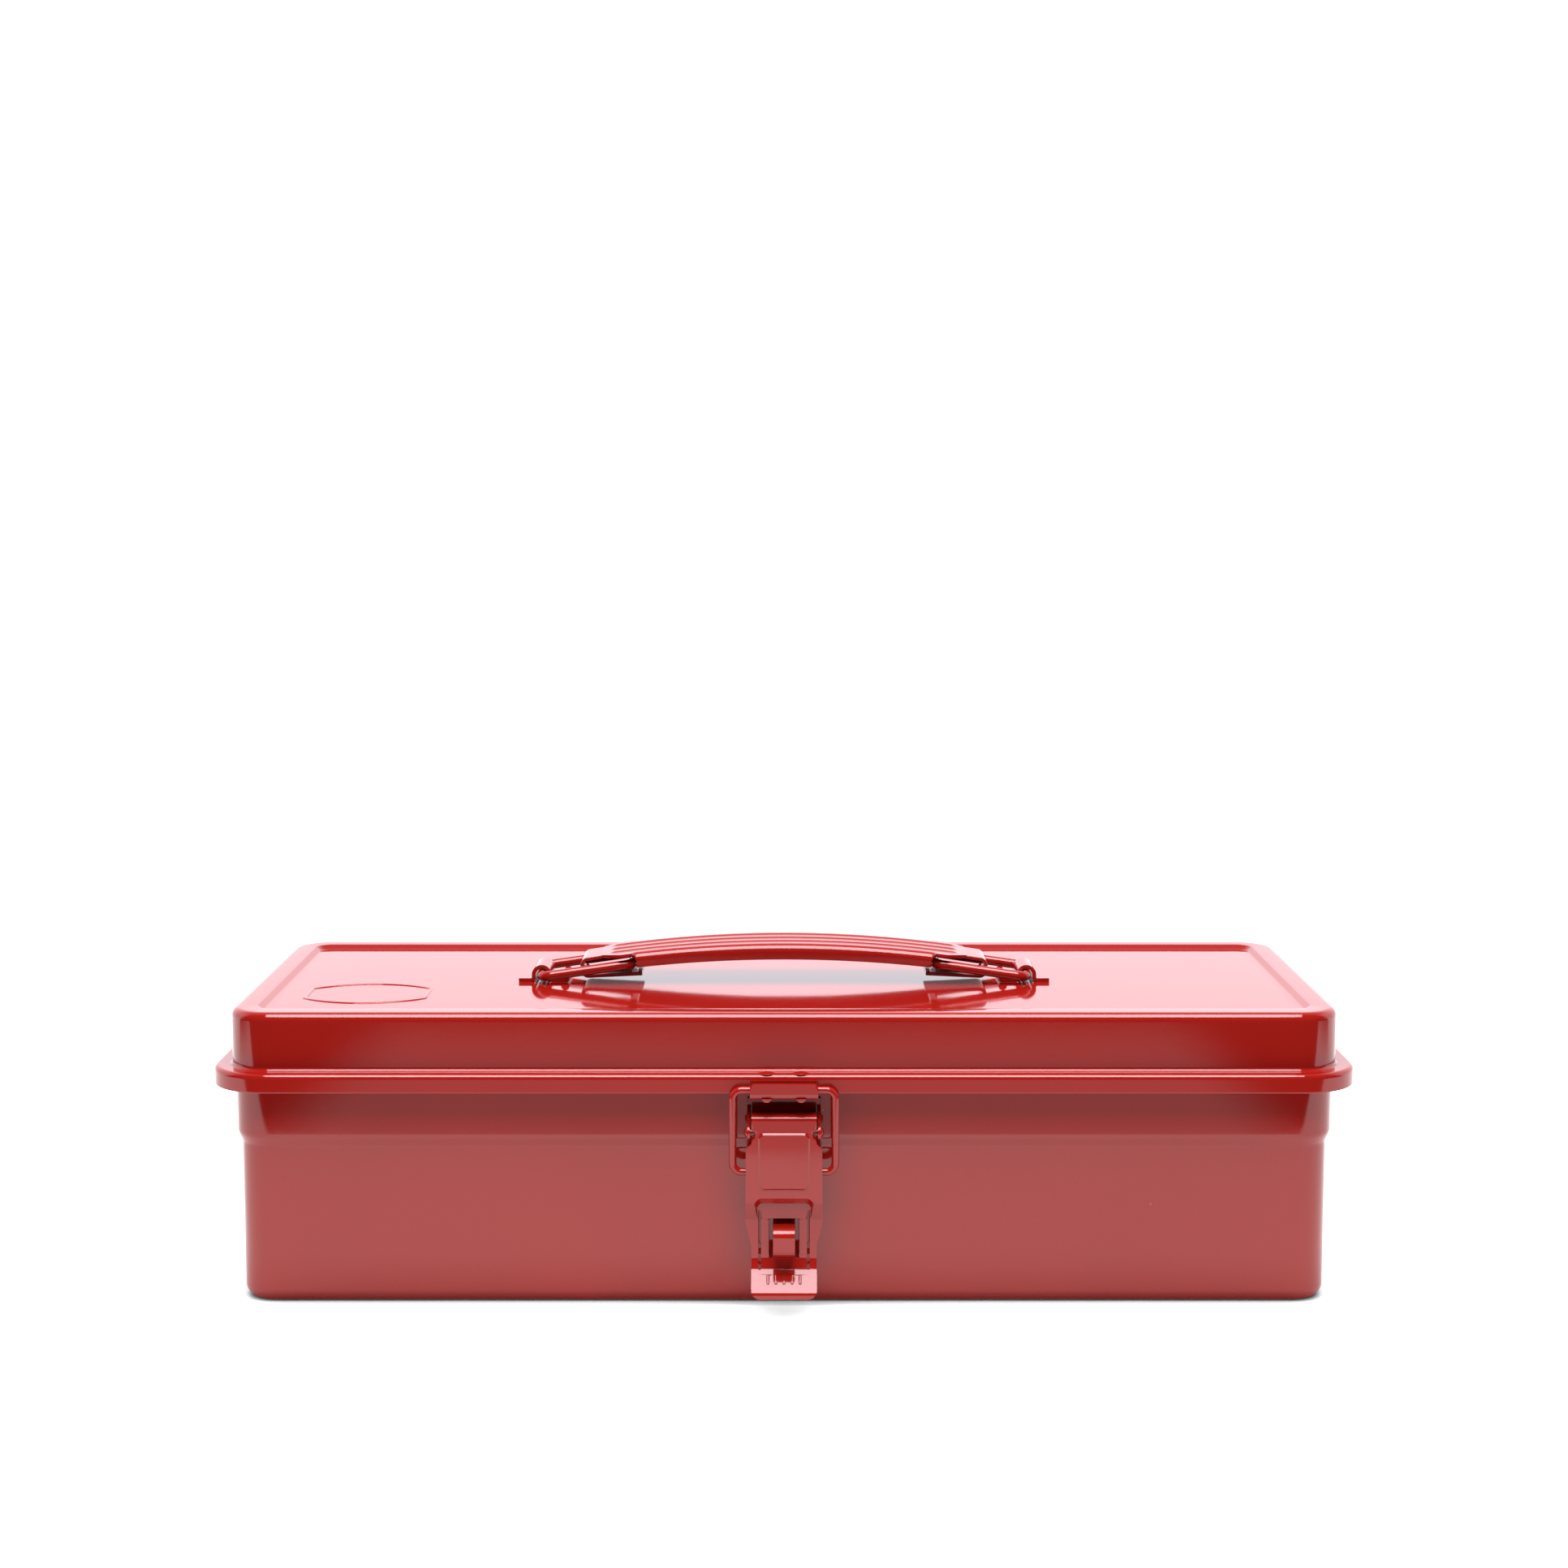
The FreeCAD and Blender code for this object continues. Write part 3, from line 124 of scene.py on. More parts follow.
class Graph:
    """Node tree that is written as calls and expressions."""

    def __init__(self, tree: bpy.types.NodeTree) -> None:
        """Empty the tree and keep it.

        Args:
            tree: tree of a material or of the world.
        """
        self.tree = tree
        self.tree.nodes.clear()

    def node(self, kind: str, settings: dict[str, Any] | None = None,
             inputs: dict[str | int, Any] | None = None, output: str | int = 0) -> Wire | None:
        """Add one node.

        Args:
            kind: node type without the ShaderNode prefix.
            settings: properties of the node, set before its inputs.
            inputs: value or Wire for each named or numbered input socket.
            output: name or number of the output socket that is returned.

        Returns:
            The chosen output socket, or nothing for an output node.
        """
        made = self.tree.nodes.new("ShaderNode" + kind)
        for name, value in (settings or {}).items():
            setattr(made, name, value)
        for name, value in (inputs or {}).items():
            if isinstance(value, Wire):
                self.tree.links.new(value.socket, made.inputs[name])
            else:
                made.inputs[name].default_value = value
        return Wire(self, made.outputs[output]) if made.outputs else None

    def math(self, operation: str, *values: Any) -> Wire:
        """One Math node on numbers or wires."""
        return self.node("Math", {"operation": operation}, dict(enumerate(values)))

    def ramp(self, value: Wire, low: float, high: float) -> Wire:
        """Smooth 0 to 1 as value goes from low to high."""
        settings = {"interpolation_type": "SMOOTHSTEP", "clamp": True}
        return self.node("MapRange", settings, {"Value": value, "From Min": low, "From Max": high})

    def mix_colour(self, share: Any, first: Any, second: Any) -> Wire:
        """Mix of two colours."""
        return self.node("Mix", {"data_type": "RGBA"}, {0: share, 6: first, 7: second}, output=2)

    def split(self, vector: Wire) -> tuple[Wire, Wire, Wire]:
        """X, Y and Z of a vector."""
        made = self.node("SeparateXYZ", inputs={0: vector}).socket.node
        return tuple(Wire(self, made.outputs[axis]) for axis in "XYZ")

    def place(self, scale: Triple = (1.0, 1.0, 1.0)) -> Wire:
        """Object coordinates in metres, stretched."""
        coordinates = self.node("TexCoord", output="Object")
        return self.node("Mapping", inputs={"Vector": coordinates, "Scale": scale})

    def noise(self, vector: Wire, scale: float, detail: float = 2.0, roughness: float = 0.5) -> Wire:
        """Noise value around 0.5."""
        inputs = {"Vector": vector, "Scale": scale, "Detail": detail, "Roughness": roughness}
        return self.node("TexNoise", inputs=inputs)

    def cells(self, vector: Wire, scale: float) -> Wire:
        """Distance to the nearest of scattered points."""
        return self.node("TexVoronoi", inputs={"Vector": vector, "Scale": scale}, output="Distance")


# ---- finishes ------------------------------------------------------------------------------
@dataclass(frozen=True)
class Enamel:
    """Sprayed and baked gloss enamel on sheet steel or wire.

    A scale is a pattern's fineness per metre, a range is the two values that it fades between.
    """

    slot: Slot
    red: Triple = (0.27, 0.0078, 0.0046)
    deep_red: Triple = (0.235, 0.0062, 0.0038)
    ior: float = 1.5
    gloss: float = 0.07
    rub: float = 0.0
    dust: float = 1.0
    drift_scale: float = 14.0
    drift_share: float = 0.6
    flow_scale: float = 60.0
    flow_stretch: Triple = (1.0, 1.0, 0.35)
    flow_share: float = 0.4
    thin_range: Pair = (0.42, 0.66)
    thin_depth: float = 0.3
    speck_colour: Triple = (0.72, 0.6, 0.58)
    speck_scale: float = 95.0
    speck_range: Pair = (0.012, 0.03)
    speck_field_scale: float = 9.0
    speck_field_range: Pair = (0.5, 0.62)
    speck_cover: float = 0.6
    speck_rough: float = 0.3
    haze_scale: float = 35.0
    haze_range: Pair = (0.5, 0.8)
    haze_rough: float = 0.03
    rub_scale: float = 160.0
    rub_stretch: Triple = (1.0, 6.0, 6.0)
    rub_range: Pair = (0.55, 0.75)
    rub_rough: float = 0.05
    peel_scale: float = 420.0
    peel_height: float = 0.0000045
    soft_peel_ratio: float = 3.0
    soft_peel_gain: float = 1.6
    wave_scale: float = 22.0
    wave_stretch: Triple = (1.0, 1.0, 1.6)
    wave_height: float = 0.00003

    def build(self) -> bpy.types.Material:
        """Make the material.

        Returns:
            A node material with colour drift, dust specks, orange peel and sheet waviness.
        """
        material = bpy.data.materials.new("gloss_" + self.slot.value)
        material.use_nodes = True
        graph = Graph(material.node_tree)
        place = graph.place()
        speck = self._speck(graph, place)
        inputs = {"Base Color": self._colour(graph, place, speck), "IOR": self.ior,
                  "Roughness": self._roughness(graph, place, speck), "Normal": self._bump(graph, place)}
        surface = graph.node("BsdfPrincipled", inputs=inputs)
        graph.node("OutputMaterial", inputs={"Surface": surface})
        return material

    def _speck(self, graph: Graph, place: Wire) -> Wire:
        """Dust specks, 1 in the middle of each, in the dusty areas only."""
        speck = 1.0 - graph.ramp(graph.cells(place, self.speck_scale), *self.speck_range)
        dusty = graph.ramp(graph.noise(place, self.speck_field_scale, 1.0), *self.speck_field_range)
        return speck * dusty * self.dust

    def _colour(self, graph: Graph, place: Wire, speck: Wire) -> Wire:
        """Red that drifts a little with the thickness of the coat, and the specks."""
        drift = graph.noise(place, self.drift_scale, 3.0)
        flow = graph.noise(graph.place(self.flow_stretch), self.flow_scale, 2.0)
        thin = graph.ramp(drift * self.drift_share + flow * self.flow_share, *self.thin_range)
        coat = graph.mix_colour(thin * self.thin_depth, (*self.red, 1.0), (*self.deep_red, 1.0))
        return graph.mix_colour(speck * self.speck_cover, coat, (*self.speck_colour, 1.0))

    def _roughness(self, graph: Graph, place: Wire, speck: Wire) -> Wire:
        """Gloss that is duller in hazy patches, on specks and where hands rub."""
        haze = graph.ramp(graph.noise(place, self.haze_scale, 5.0, 0.6), *self.haze_range)
        rubbed = graph.ramp(graph.noise(graph.place(self.rub_stretch), self.rub_scale, 2.0), *self.rub_range)
        dull = self.gloss + haze * self.haze_rough + speck * self.speck_rough
        return dull + rubbed * self.rub_rough * self.rub

    def _bump(self, graph: Graph, place: Wire) -> Wire:
        """Normal with fine and soft orange peel and the sheet's waviness."""
        fine = graph.noise(place, self.peel_scale, 2.0)
        soft = graph.noise(place, self.peel_scale / self.soft_peel_ratio, 1.0)
        wave = graph.noise(graph.place(self.wave_stretch), self.wave_scale, 1.0)
        peel = fine * self.peel_height + soft * self.peel_height * self.soft_peel_gain
        height = peel + wave * self.wave_height
        return graph.node("Bump", inputs={"Strength": 1.0, "Distance": 1.0, "Height": height})


# ---- mesh helpers --------------------------------------------------------------------------
@dataclass(frozen=True)
class Ring:
    """Rounded rectangle lying flat, in millimetres."""

    half_x: float
    half_y: float
    corner_r: float
    z: float

    def points(self, segments: int) -> list[Vector]:
        """Points counter-clockwise from +X, equally many for every ring.

        Args:
            segments: steps of each corner's arc.

        Returns:
            Points in metres.
        """
        found = []
        for quarter, (side_x, side_y) in enumerate(((1, 1), (-1, 1), (-1, -1), (1, -1))):
            centre_x = side_x * (self.half_x - self.corner_r)
            centre_y = side_y * (self.half_y - self.corner_r)
            for step in range(segments + 1):
                angle = math.pi / 2 * (quarter + step / segments)
                x = centre_x + self.corner_r * math.cos(angle)
                y = centre_y + self.corner_r * math.sin(angle)
                found.append(Vector((x * MM, y * MM, self.z * MM)))
        return found


@dataclass
class Lathe:
    """Walks a profile across a pressed sheet and keeps one rounded ring for each of its points.

    The profile is given as (outset, z): how far the ring lies outside the base rectangle.
    """

    half_x: float
    half_y: float
    corner_r: float
    hold: float = 0.22
    least_r: float = 0.05
    rings: list[Ring] = field(default_factory=list)

    def to(self, outset: float, z: float, corner_r: float | None = None) -> "Lathe":
        """Add one ring.

        Args:
            outset: distance outside the base rectangle.
            z: height.
            corner_r: corner radius, if it isn't the base radius plus the outset.

        Returns:
            The same walk.
        """
        radius = self.corner_r + outset if corner_r is None else corner_r
        radius = max(radius, self.least_r)
        self.rings.append(Ring(self.half_x + outset, self.half_y + outset, radius, z))
        return self

    def bend(self, corner: Pair, before: Pair, after: Pair, radius: float, steps: int) -> "Lathe":
        """Round a profile corner, with a holding ring before and after the arc.

        Args:
            corner: sharp corner as (outset, z).
            before: a profile point on the way in.
            after: a profile point on the way out.
            radius: radius of the arc.
            steps: steps of the arc.

        Returns:
            The same walk.
        """
        tip = Vector(corner)
        way_in = (Vector(before) - tip).normalized()
        way_out = (Vector(after) - tip).normalized()
        half = way_in.angle(way_out) / 2
        reach = radius / math.tan(half)
        centre = tip + (way_in + way_out).normalized() * (radius / math.sin(half))
        start = tip + way_in * reach
        end = tip + way_out * reach
        self.to(*(start + way_in * self.hold))
        first = start - centre
        total = first.angle_signed(end - centre)
        for step in range(steps + 1):
            turned = Matrix.Rotation(-total * step / steps, 2) @ first
            self.to(*(centre + turned))
        return self.to(*(end + way_out * self.hold))


class Sculptor:
    """Small mesh maker shared by the pieces."""

    def __init__(self) -> None:
        """Start an empty mesh."""
        self.mesh = bmesh.new()

    def loft(self, rings: Iterable[list[Vector]], closed_path: bool = False, capped: bool = True) -> None:
        """Skin equally long closed rings.

        Args:
            rings: point rings in metres, the first inside the last along the surface.
            closed_path: join the last ring to the first.
            capped: fill the first and the last ring.
        """
        rows = [[self.mesh.verts.new(point) for point in ring] for ring in rings]
        pairs = list(zip(rows, rows[1:])) + ([(rows[-1], rows[0])] if closed_path else [])
        for low, high in pairs:
            count = len(low)
            for index in range(count):
                after = (index + 1) % count
                self.mesh.faces.new((low[index], low[after], high[after], high[index]))
        if capped and not closed_path:
            self.mesh.faces.new(list(reversed(rows[0])))
            self.mesh.faces.new(rows[-1])

    def skin(self, low: list[bmesh.types.BMVert], high: list[bmesh.types.BMVert]) -> None:
        """Quads between two open rows of vertices."""
        for index in range(len(low) - 1):
            self.mesh.faces.new((low[index], high[index], high[index + 1], low[index + 1]))

    def tube(self, path: list[Vector], up: Vector, radius: float, sides: int = 20) -> None:
        """Round wire along a closed path.

        Args:
            path: points of the wire's centre in metres.
            up: normal of the plane the path lies in.
            radius: radius of the wire in metres.
            sides: sides of its section.
        """
        rings = []
        count = len(path)
        for index, centre in enumerate(path):
            along = (path[(index + 1) % count] - path[index - 1]).normalized()
            across = along.cross(up)
            rings.append([centre + radius * (math.cos(angle) * across + math.sin(angle) * up)
                          for angle in (2 * math.pi * side / sides for side in range(sides))])
        self.loft(rings, closed_path=True)

    def dome(self, centre: Vector, radius: float, rise: float, steps: int = 6, sides: int = 24) -> None:
        """Shallow cap standing on a level face.

        Args:
            centre: middle of its foot in metres.
            radius: radius of its foot in metres.
            rise: height in metres.
            steps: rings from foot to top.
            sides: points of each ring.
        """
        ball = (radius ** 2 + rise ** 2) / (2 * rise)
        rings = []
        for step in range(steps):
            reach = radius * math.cos(math.pi / 2 * step / steps)
            z = math.sqrt(ball ** 2 - reach ** 2) - (ball - rise)
            rings.append([centre + Vector((reach * math.cos(angle), reach * math.sin(angle), z))
                          for angle in (2 * math.pi * side / sides for side in range(sides))])
        self.loft(rings)

    def _face_outward(self) -> None:
        """Turn an open sheet over if its faces look at the middle of the piece."""
        if not any(edge.is_boundary for edge in self.mesh.edges):
            return
        middle = sum((vert.co for vert in self.mesh.verts), Vector()) / len(self.mesh.verts)
        outward = sum(face.normal.dot(face.calc_center_median() - middle) * face.calc_area()
                      for face in self.mesh.faces)
        if outward < 0:
            bmesh.ops.reverse_faces(self.mesh, faces=self.mesh.faces)

    def finish(self, name: str, body: Body, slot: Slot, *nodes: str) -> bpy.types.Object:
        """Turn the mesh into a piece.

        Args:
            name: name of the piece.
            body: body it rides on.
            slot: finish slot.
            nodes: CAD nodes it takes the place of.

        Returns:
            The new object.
        """
        bmesh.ops.remove_doubles(self.mesh, verts=self.mesh.verts, dist=WELD_DISTANCE)
        bmesh.ops.recalc_face_normals(self.mesh, faces=self.mesh.faces)
        self._face_outward()
        data = bpy.data.meshes.new(name)
        self.mesh.to_mesh(data)
        self.mesh.free()
        data.shade_smooth()
        data.materials.append(slot.material())
        piece = bpy.data.objects.new(name, data)
        bpy.context.scene.collection.objects.link(piece)
        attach(piece, body.value)
        if nodes:
            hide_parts(*nodes)
        log.info("built %s with %d faces", name, len(data.polygons))
        return piece


# ---- sheet-metal shells --------------------------------------------------------------------
@dataclass
class Shells:
    """Tub and lid, pressed from sheet."""

    half_x: float = 161.0
    half_y: float = 59.3
    corner_r: float = 12.3
    corner_steps: int = 18
    sheet: float = 0.8
    rim_z: float = 69.35
    lid_top_z: float = 86.1
    recess_z: float = 84.9
    skirt_z: float = 63.9
    rim_overhang: float = 5.25
    rim_edge_r: float = 1.3
    rim_root_r: float = 0.9
    lid_edge_r: float = 2.3
    border: float = 7.6
    border_run: float = 1.3
    recess_r: float = 3.5
    least_recess_r: float = 1.0
    panel_reach: float = 4.0
    crease_hold: float = 0.35
    crease_near: Pair = (0.1, 0.03)
    crease_far: Pair = (0.12, 0.15)
    under_hold: float = 0.2
    under_soft: float = 0.1
    under_reach: float = 0.5
    cut_soft: float = 0.18
    cut_hold: float = 0.2
    root_r: float = 0.3
    weld_places: tuple[Pair, ...] = ((-4.9, -61.95), (4.9, -61.95))
    weld_r: float = 2.6
    weld_rise: float = 0.45
    weld_sink: float = 0.02
    badge_centre: Pair = (-124.9, -24.1)
    badge_half_x: float = 18.5
    badge_end: float = 8.0
    badge_bow: float = 15.0
    badge_line: float = 1.3
    badge_rise: float = 0.28
    badge_side_steps: int = 14
    badge_end_steps: int = 6
    badge_section_steps: int = 8
    tub_top_z: float = 68.2
    hem_gap: float = 0.6
    hem_height: float = 2.8
    tub_inset: float = 1.0
    shoulder_inset: float = 1.25
    shoulder_z: float = 49.5
    shoulder_low_z: float = 46.5
    shoulder_r: float = 3.5
    bottom_r: float = 3.6
    mouth_r: float = 0.8
    floor_reach: float = 12.0
    floor_r: float = 2.0

    def build(self) -> None:
        """Make both shells."""
        self._lid()
        self._tub()

    def _walk(self) -> Lathe:
        """A profile walk on the lid's wall outline."""
        return Lathe(self.half_x, self.half_y, self.corner_r)

    def _lid(self) -> None:
        """Lid: sunk panel, raised border, wall, rim ledge, skirt and the same again inside."""
        over = self.rim_overhang
        foot = -self.border - self.border_run
        brow = -self.border
        sheet = self.sheet
        near_out, near_rise = self.crease_near
        far_out, far_rise = self.crease_far
        walk = self._walk()
        self._border_rings(walk, foot, (
            (-self.border - self.panel_reach, self.recess_z),
            (foot - self.crease_hold, self.recess_z),
            (foot - near_out, self.recess_z + near_rise),
            (foot + far_out, self.recess_z + far_rise),
            (brow - far_out, self.lid_top_z - far_rise),
            (brow + near_out, self.lid_top_z - near_rise),
            (brow + self.crease_hold, self.lid_top_z)))
        walk.bend((0.0, self.lid_top_z), (brow, self.lid_top_z), (0.0, self.rim_z), self.lid_edge_r, steps=9)
        walk.bend((0.0, self.rim_z), (0.0, self.lid_top_z), (over, self.rim_z), self.rim_root_r, steps=6)
        walk.bend((over, self.rim_z), (0.0, self.rim_z), (over, self.skirt_z), self.rim_edge_r, steps=7)
        self._sheet_edge(walk, over, over - sheet, self.skirt_z)
        under_z = self.rim_z - sheet
        top_z = self.lid_top_z - sheet
        inner = -sheet
        walk.bend((over - sheet, under_z), (over - sheet, self.skirt_z), (inner, under_z),
                  self.rim_edge_r - sheet / 2, steps=5)
        walk.bend((inner, under_z), (over, under_z), (inner, top_z), self.root_r, steps=3)
        walk.bend((inner, top_z), (inner, under_z), (brow, top_z), self.lid_edge_r - sheet, steps=6)
        self._border_rings(walk, foot, (
            (brow + sheet + self.under_hold, top_z),
            (brow + sheet - self.under_soft, top_z - self.under_soft),
            (foot + sheet, self.recess_z - sheet),
            (foot + sheet - self.under_reach, self.recess_z - sheet)))
        sculptor = Sculptor()
        sculptor.loft(ring.points(self.corner_steps) for ring in walk.rings)
        for x, y in self.weld_places:
            centre = Vector((x, y, self.rim_z - self.weld_sink)) * MM
            sculptor.dome(centre, self.weld_r * MM, self.weld_rise * MM)
        self._badge(sculptor)
        sculptor.finish("lid_panel", Body.LID, Slot.BODY, "lid_shell")

    def _border_rings(self, walk: Lathe, foot: float, profile: tuple[Pair, ...]) -> None:
        """Rings of the sunk panel's border, their corners growing from the panel's own.

        Args:
            walk: walk that the rings are added to.
            foot: outset of the border's foot, where the panel's corner radius holds.
            profile: outset and height of each ring.
        """
        for outset, z in profile:
            walk.to(outset, z, max(self.recess_r + outset - foot, self.least_recess_r))

    def _sheet_edge(self, walk: Lathe, outer: float, inner: float, z: float) -> None:
        """Cut edge of the sheet, its corners broken by the paint."""
        soft = self.cut_soft
        for outset, height in ((outer, z + soft + self.cut_hold), (outer, z + soft),
                               (outer - soft / 3, z + soft / 3), (outer - soft, z), (inner + soft, z),
                               (inner + soft / 3, z + soft / 3), (inner, z + soft),
                               (inner, z + soft + self.cut_hold)):
            walk.to(outset, height)

    def _badge(self, sculptor: Sculptor) -> None:
        """Plain bowed line standing up from the sunk panel."""
        path = self._bowed_path()
        angles = [math.pi * step / self.badge_section_steps for step in range(self.badge_section_steps + 1)]
        rings = []
        count = len(path)
        lift = self.badge_rise * MM
        for index, centre in enumerate(path):
            along = (path[(index + 1) % count] - path[index - 1]).normalized()
            across = along.cross(Vector((0.0, 0.0, 1.0)))
            half = self.badge_line * MM / 2
            rings.append([centre + across * half * math.cos(angle)
                          + Vector((0.0, 0.0, lift * math.sin(angle))) for angle in angles])
        for low, high in zip(rings, rings[1:] + rings[:1]):
            low_row = [sculptor.mesh.verts.new(point) for point in low]
            high_row = [sculptor.mesh.verts.new(point) for point in high]
            sculptor.skin(low_row, high_row)

    def _bowed_path(self) -> list[Vector]:
        """Points along the badge's centre line, each side a shallow arc."""
        half = self.badge_half_x - self.badge_line / 2
        end = self.badge_end - self.badge_line / 2
        bow = self.badge_bow - self.badge_line / 2 - end
        radius = (half ** 2 + bow ** 2) / (2 * bow)
        sweep = math.asin(half / radius)
        x_mid, y_mid = self.badge_centre
        steps = self.badge_side_steps
        end_steps = self.badge_end_steps
        path = []
        for side in (1, -1):
            for step in range(steps + 1):
                angle = side * sweep * (1 - 2 * step / steps)
                x = x_mid + radius * math.sin(angle)
                y = y_mid + side * (end + bow - radius + radius * math.cos(angle))
                path.append(Vector((x, y, self.recess_z)) * MM)
            for step in range(1, end_steps):
                y = y_mid + side * end * (1 - 2 * step / end_steps)
                path.append(Vector((x_mid - side * half, y, self.recess_z)) * MM)
        return path

    def _tub(self) -> None:
        """Tub: floor, walls with one shoulder, and the turned-out hem under the lid's rim."""
        walk = self._walk()
        upper = -self.tub_inset
        lower = upper - self.shoulder_inset
        hem = self.rim_overhang - self.sheet - self.hem_gap
        hem_z = self.tub_top_z - self.hem_height
        under_z = self.tub_top_z - self.sheet
        hem_inner = hem - self.sheet
        inner = upper - self.sheet
        low_inner = lower - self.sheet
        walk.to(lower - self.floor_reach, 0.0, self.floor_r)
        walk.bend((lower, 0.0), (lower - self.floor_reach, 0.0), (lower, self.shoulder_low_z),
                  self.bottom_r, steps=9)
        walk.bend((lower, self.shoulder_low_z), (lower, 0.0), (upper, self.shoulder_z),
                  self.shoulder_r, steps=5)
        walk.bend((upper, self.shoulder_z), (lower, self.shoulder_low_z), (upper, self.tub_top_z),
                  self.shoulder_r, steps=5)
        walk.bend((upper, under_z), (upper, 0.0), (hem, under_z), self.root_r, steps=3)
        walk.bend((hem_inner, under_z), (upper, under_z), (hem_inner, hem_z), self.root_r, steps=3)
        walk.to(hem_inner, hem_z)
        walk.to(hem, hem_z)
        walk.bend((hem, self.tub_top_z), (hem, hem_z), (upper, self.tub_top_z), self.rim_edge_r, steps=6)
        walk.bend((inner, self.tub_top_z), (hem, self.tub_top_z), (inner, 0.0), self.mouth_r, steps=5)
        walk.bend((inner, self.shoulder_z), (inner, self.tub_top_z), (low_inner, self.shoulder_low_z),
                  self.shoulder_r, steps=5)
        walk.bend((low_inner, self.shoulder_low_z), (inner, self.shoulder_z), (low_inner, 0.0),
                  self.shoulder_r, steps=5)
        walk.bend((low_inner, self.sheet), (low_inner, self.shoulder_low_z),
                  (low_inner - self.floor_reach, self.sheet), self.bottom_r - self.sheet, steps=7)
        walk.to(low_inner - self.floor_reach, self.sheet, self.floor_r)
        sculptor = Sculptor()
        sculptor.loft(ring.points(self.corner_steps) for ring in walk.rings)
        sculptor.finish("tub_panel", Body.TUB, Slot.BODY, "body_shell")


# ---- wire parts ----------------------------------------------------------------------------
@dataclass(frozen=True)
class WireLoop:
    """Closed rectangular link of round wire."""

    name: str
    node: str
    body: Body
    start: Triple
    along: Triple
    across: Triple
    length: float
    width: float
    corner_r: float
    wire_r: float
    corner_steps: int = 12
    hold_share: float = 0.02

    def build(self) -> None:
        """Make the link: its first end bar passes through start."""
        origin = Vector(self.start)
        along = Vector(self.along).normalized()
        across = Vector(self.across).normalized()
        flat = Ring(self.length / 2, self.width / 2, self.corner_r, 0.0)
        path = []
        for point in flat.points(self.corner_steps):
            x, y = point.x / MM + self.length / 2, point.y / MM
            path.append((origin + along * x + across * y) * MM)
        sculptor = Sculptor()
        sculptor.tube(self._denser(path), along.cross(across), self.wire_r * MM)
        sculptor.finish(self.name, self.body, Slot.WIRE, self.node)

    def _denser(self, path: list[Vector]) -> list[Vector]:
        """The path with holding points near the ends of its straight runs."""
        dense = []
        for index, point in enumerate(path):
            after = path[(index + 1) % len(path)]
            dense.append(point)
            gap = (after - point).length
            if gap > 2 * self.corner_r * MM:
                dense.extend((point.lerp(after, self.hold_share), point.lerp(after, 1.0 - self.hold_share)))
        return dense


@dataclass
class Wires:
    """The latch's bail and the two handle rings."""

    ring_start_x: float = 74.5
    ring_start_z: float = 87.2
    ring_tilt: float = math.radians(8.2)
    ring_length: float = 28.7
    ring_width: float = 20.0
    ring_corner_r: float = 3.2
    ring_wire_r: float = 1.5
    bail_low: Triple = (0.0, -66.1, 41.4)
    bail_high: Triple = (0.0, -66.8, 65.45)
    bail_width: float = 29.4
    bail_corner_r: float = 2.7
    bail_wire_r: float = 1.1

    def build(self) -> None:
        """Make the three links."""
        rise = math.sin(self.ring_tilt)
        reach = math.cos(self.ring_tilt)
        for side, word, body in ((-1, "left", Body.RING_LEFT), (1, "right", Body.RING_RIGHT)):
            start = (side * self.ring_start_x, 0.0, self.ring_start_z)
            WireLoop("ring_wire_" + word, "handle_ring_" + word, body, start, (-side * reach, 0.0, rise),
                     (0.0, 1.0, 0.0), self.ring_length, self.ring_width, self.ring_corner_r,
                     self.ring_wire_r).build()
        along = Vector(self.bail_high) - Vector(self.bail_low)
        WireLoop("bail_wire", "latch_bail", Body.BAIL, self.bail_low, tuple(along), (1.0, 0.0, 0.0),
                 along.length, self.bail_width, self.bail_corner_r, self.bail_wire_r).build()


@dataclass(frozen=True)
class TabStrokes:
    """Rounded grip strokes pressed up along the finger tab."""

    count: int = 5
    pitch: float = 2.3
    half_width: float = 0.5
    length: float = 3.3
    rise: float = 0.33
    out: float = 11.1
    z: float = 10.975
    lean: float = math.radians(48.7)
    front_y: float = -59.3
    steps: int = 6
    flat_top: float = 0.4
    end_roundness: float = 0.98
    corner_steps: int = 5

    def build(self) -> None:
        """Make every stroke as a lens-shaped bar lying on the tab."""
        sculptor = Sculptor()
        slope = Matrix.Rotation(math.pi / 2 - self.lean, 3, "X")
        for index in range(self.count):
            x = (index - (self.count - 1) / 2) * self.pitch
            centre = Vector((x, self.front_y - self.out, self.z)) * MM
            rings = []
            for step in range(self.steps + 1):
                share = math.cos(math.pi / 2 * step / (self.steps + self.flat_top))
                rise = self.rise * math.sin(math.pi / 2 * step / self.steps) * MM
                width = self.half_width * share
                reach = self.length / 2 - self.half_width + width
                flat = Ring(width, reach, width * self.end_roundness, 0.0).points(self.corner_steps)
                rings.append([centre + slope @ (point + Vector((0.0, 0.0, rise))) for point in flat])
            sculptor.loft(rings)
        sculptor.finish("lever_strokes", Body.LEVER, Slot.FITTINGS)


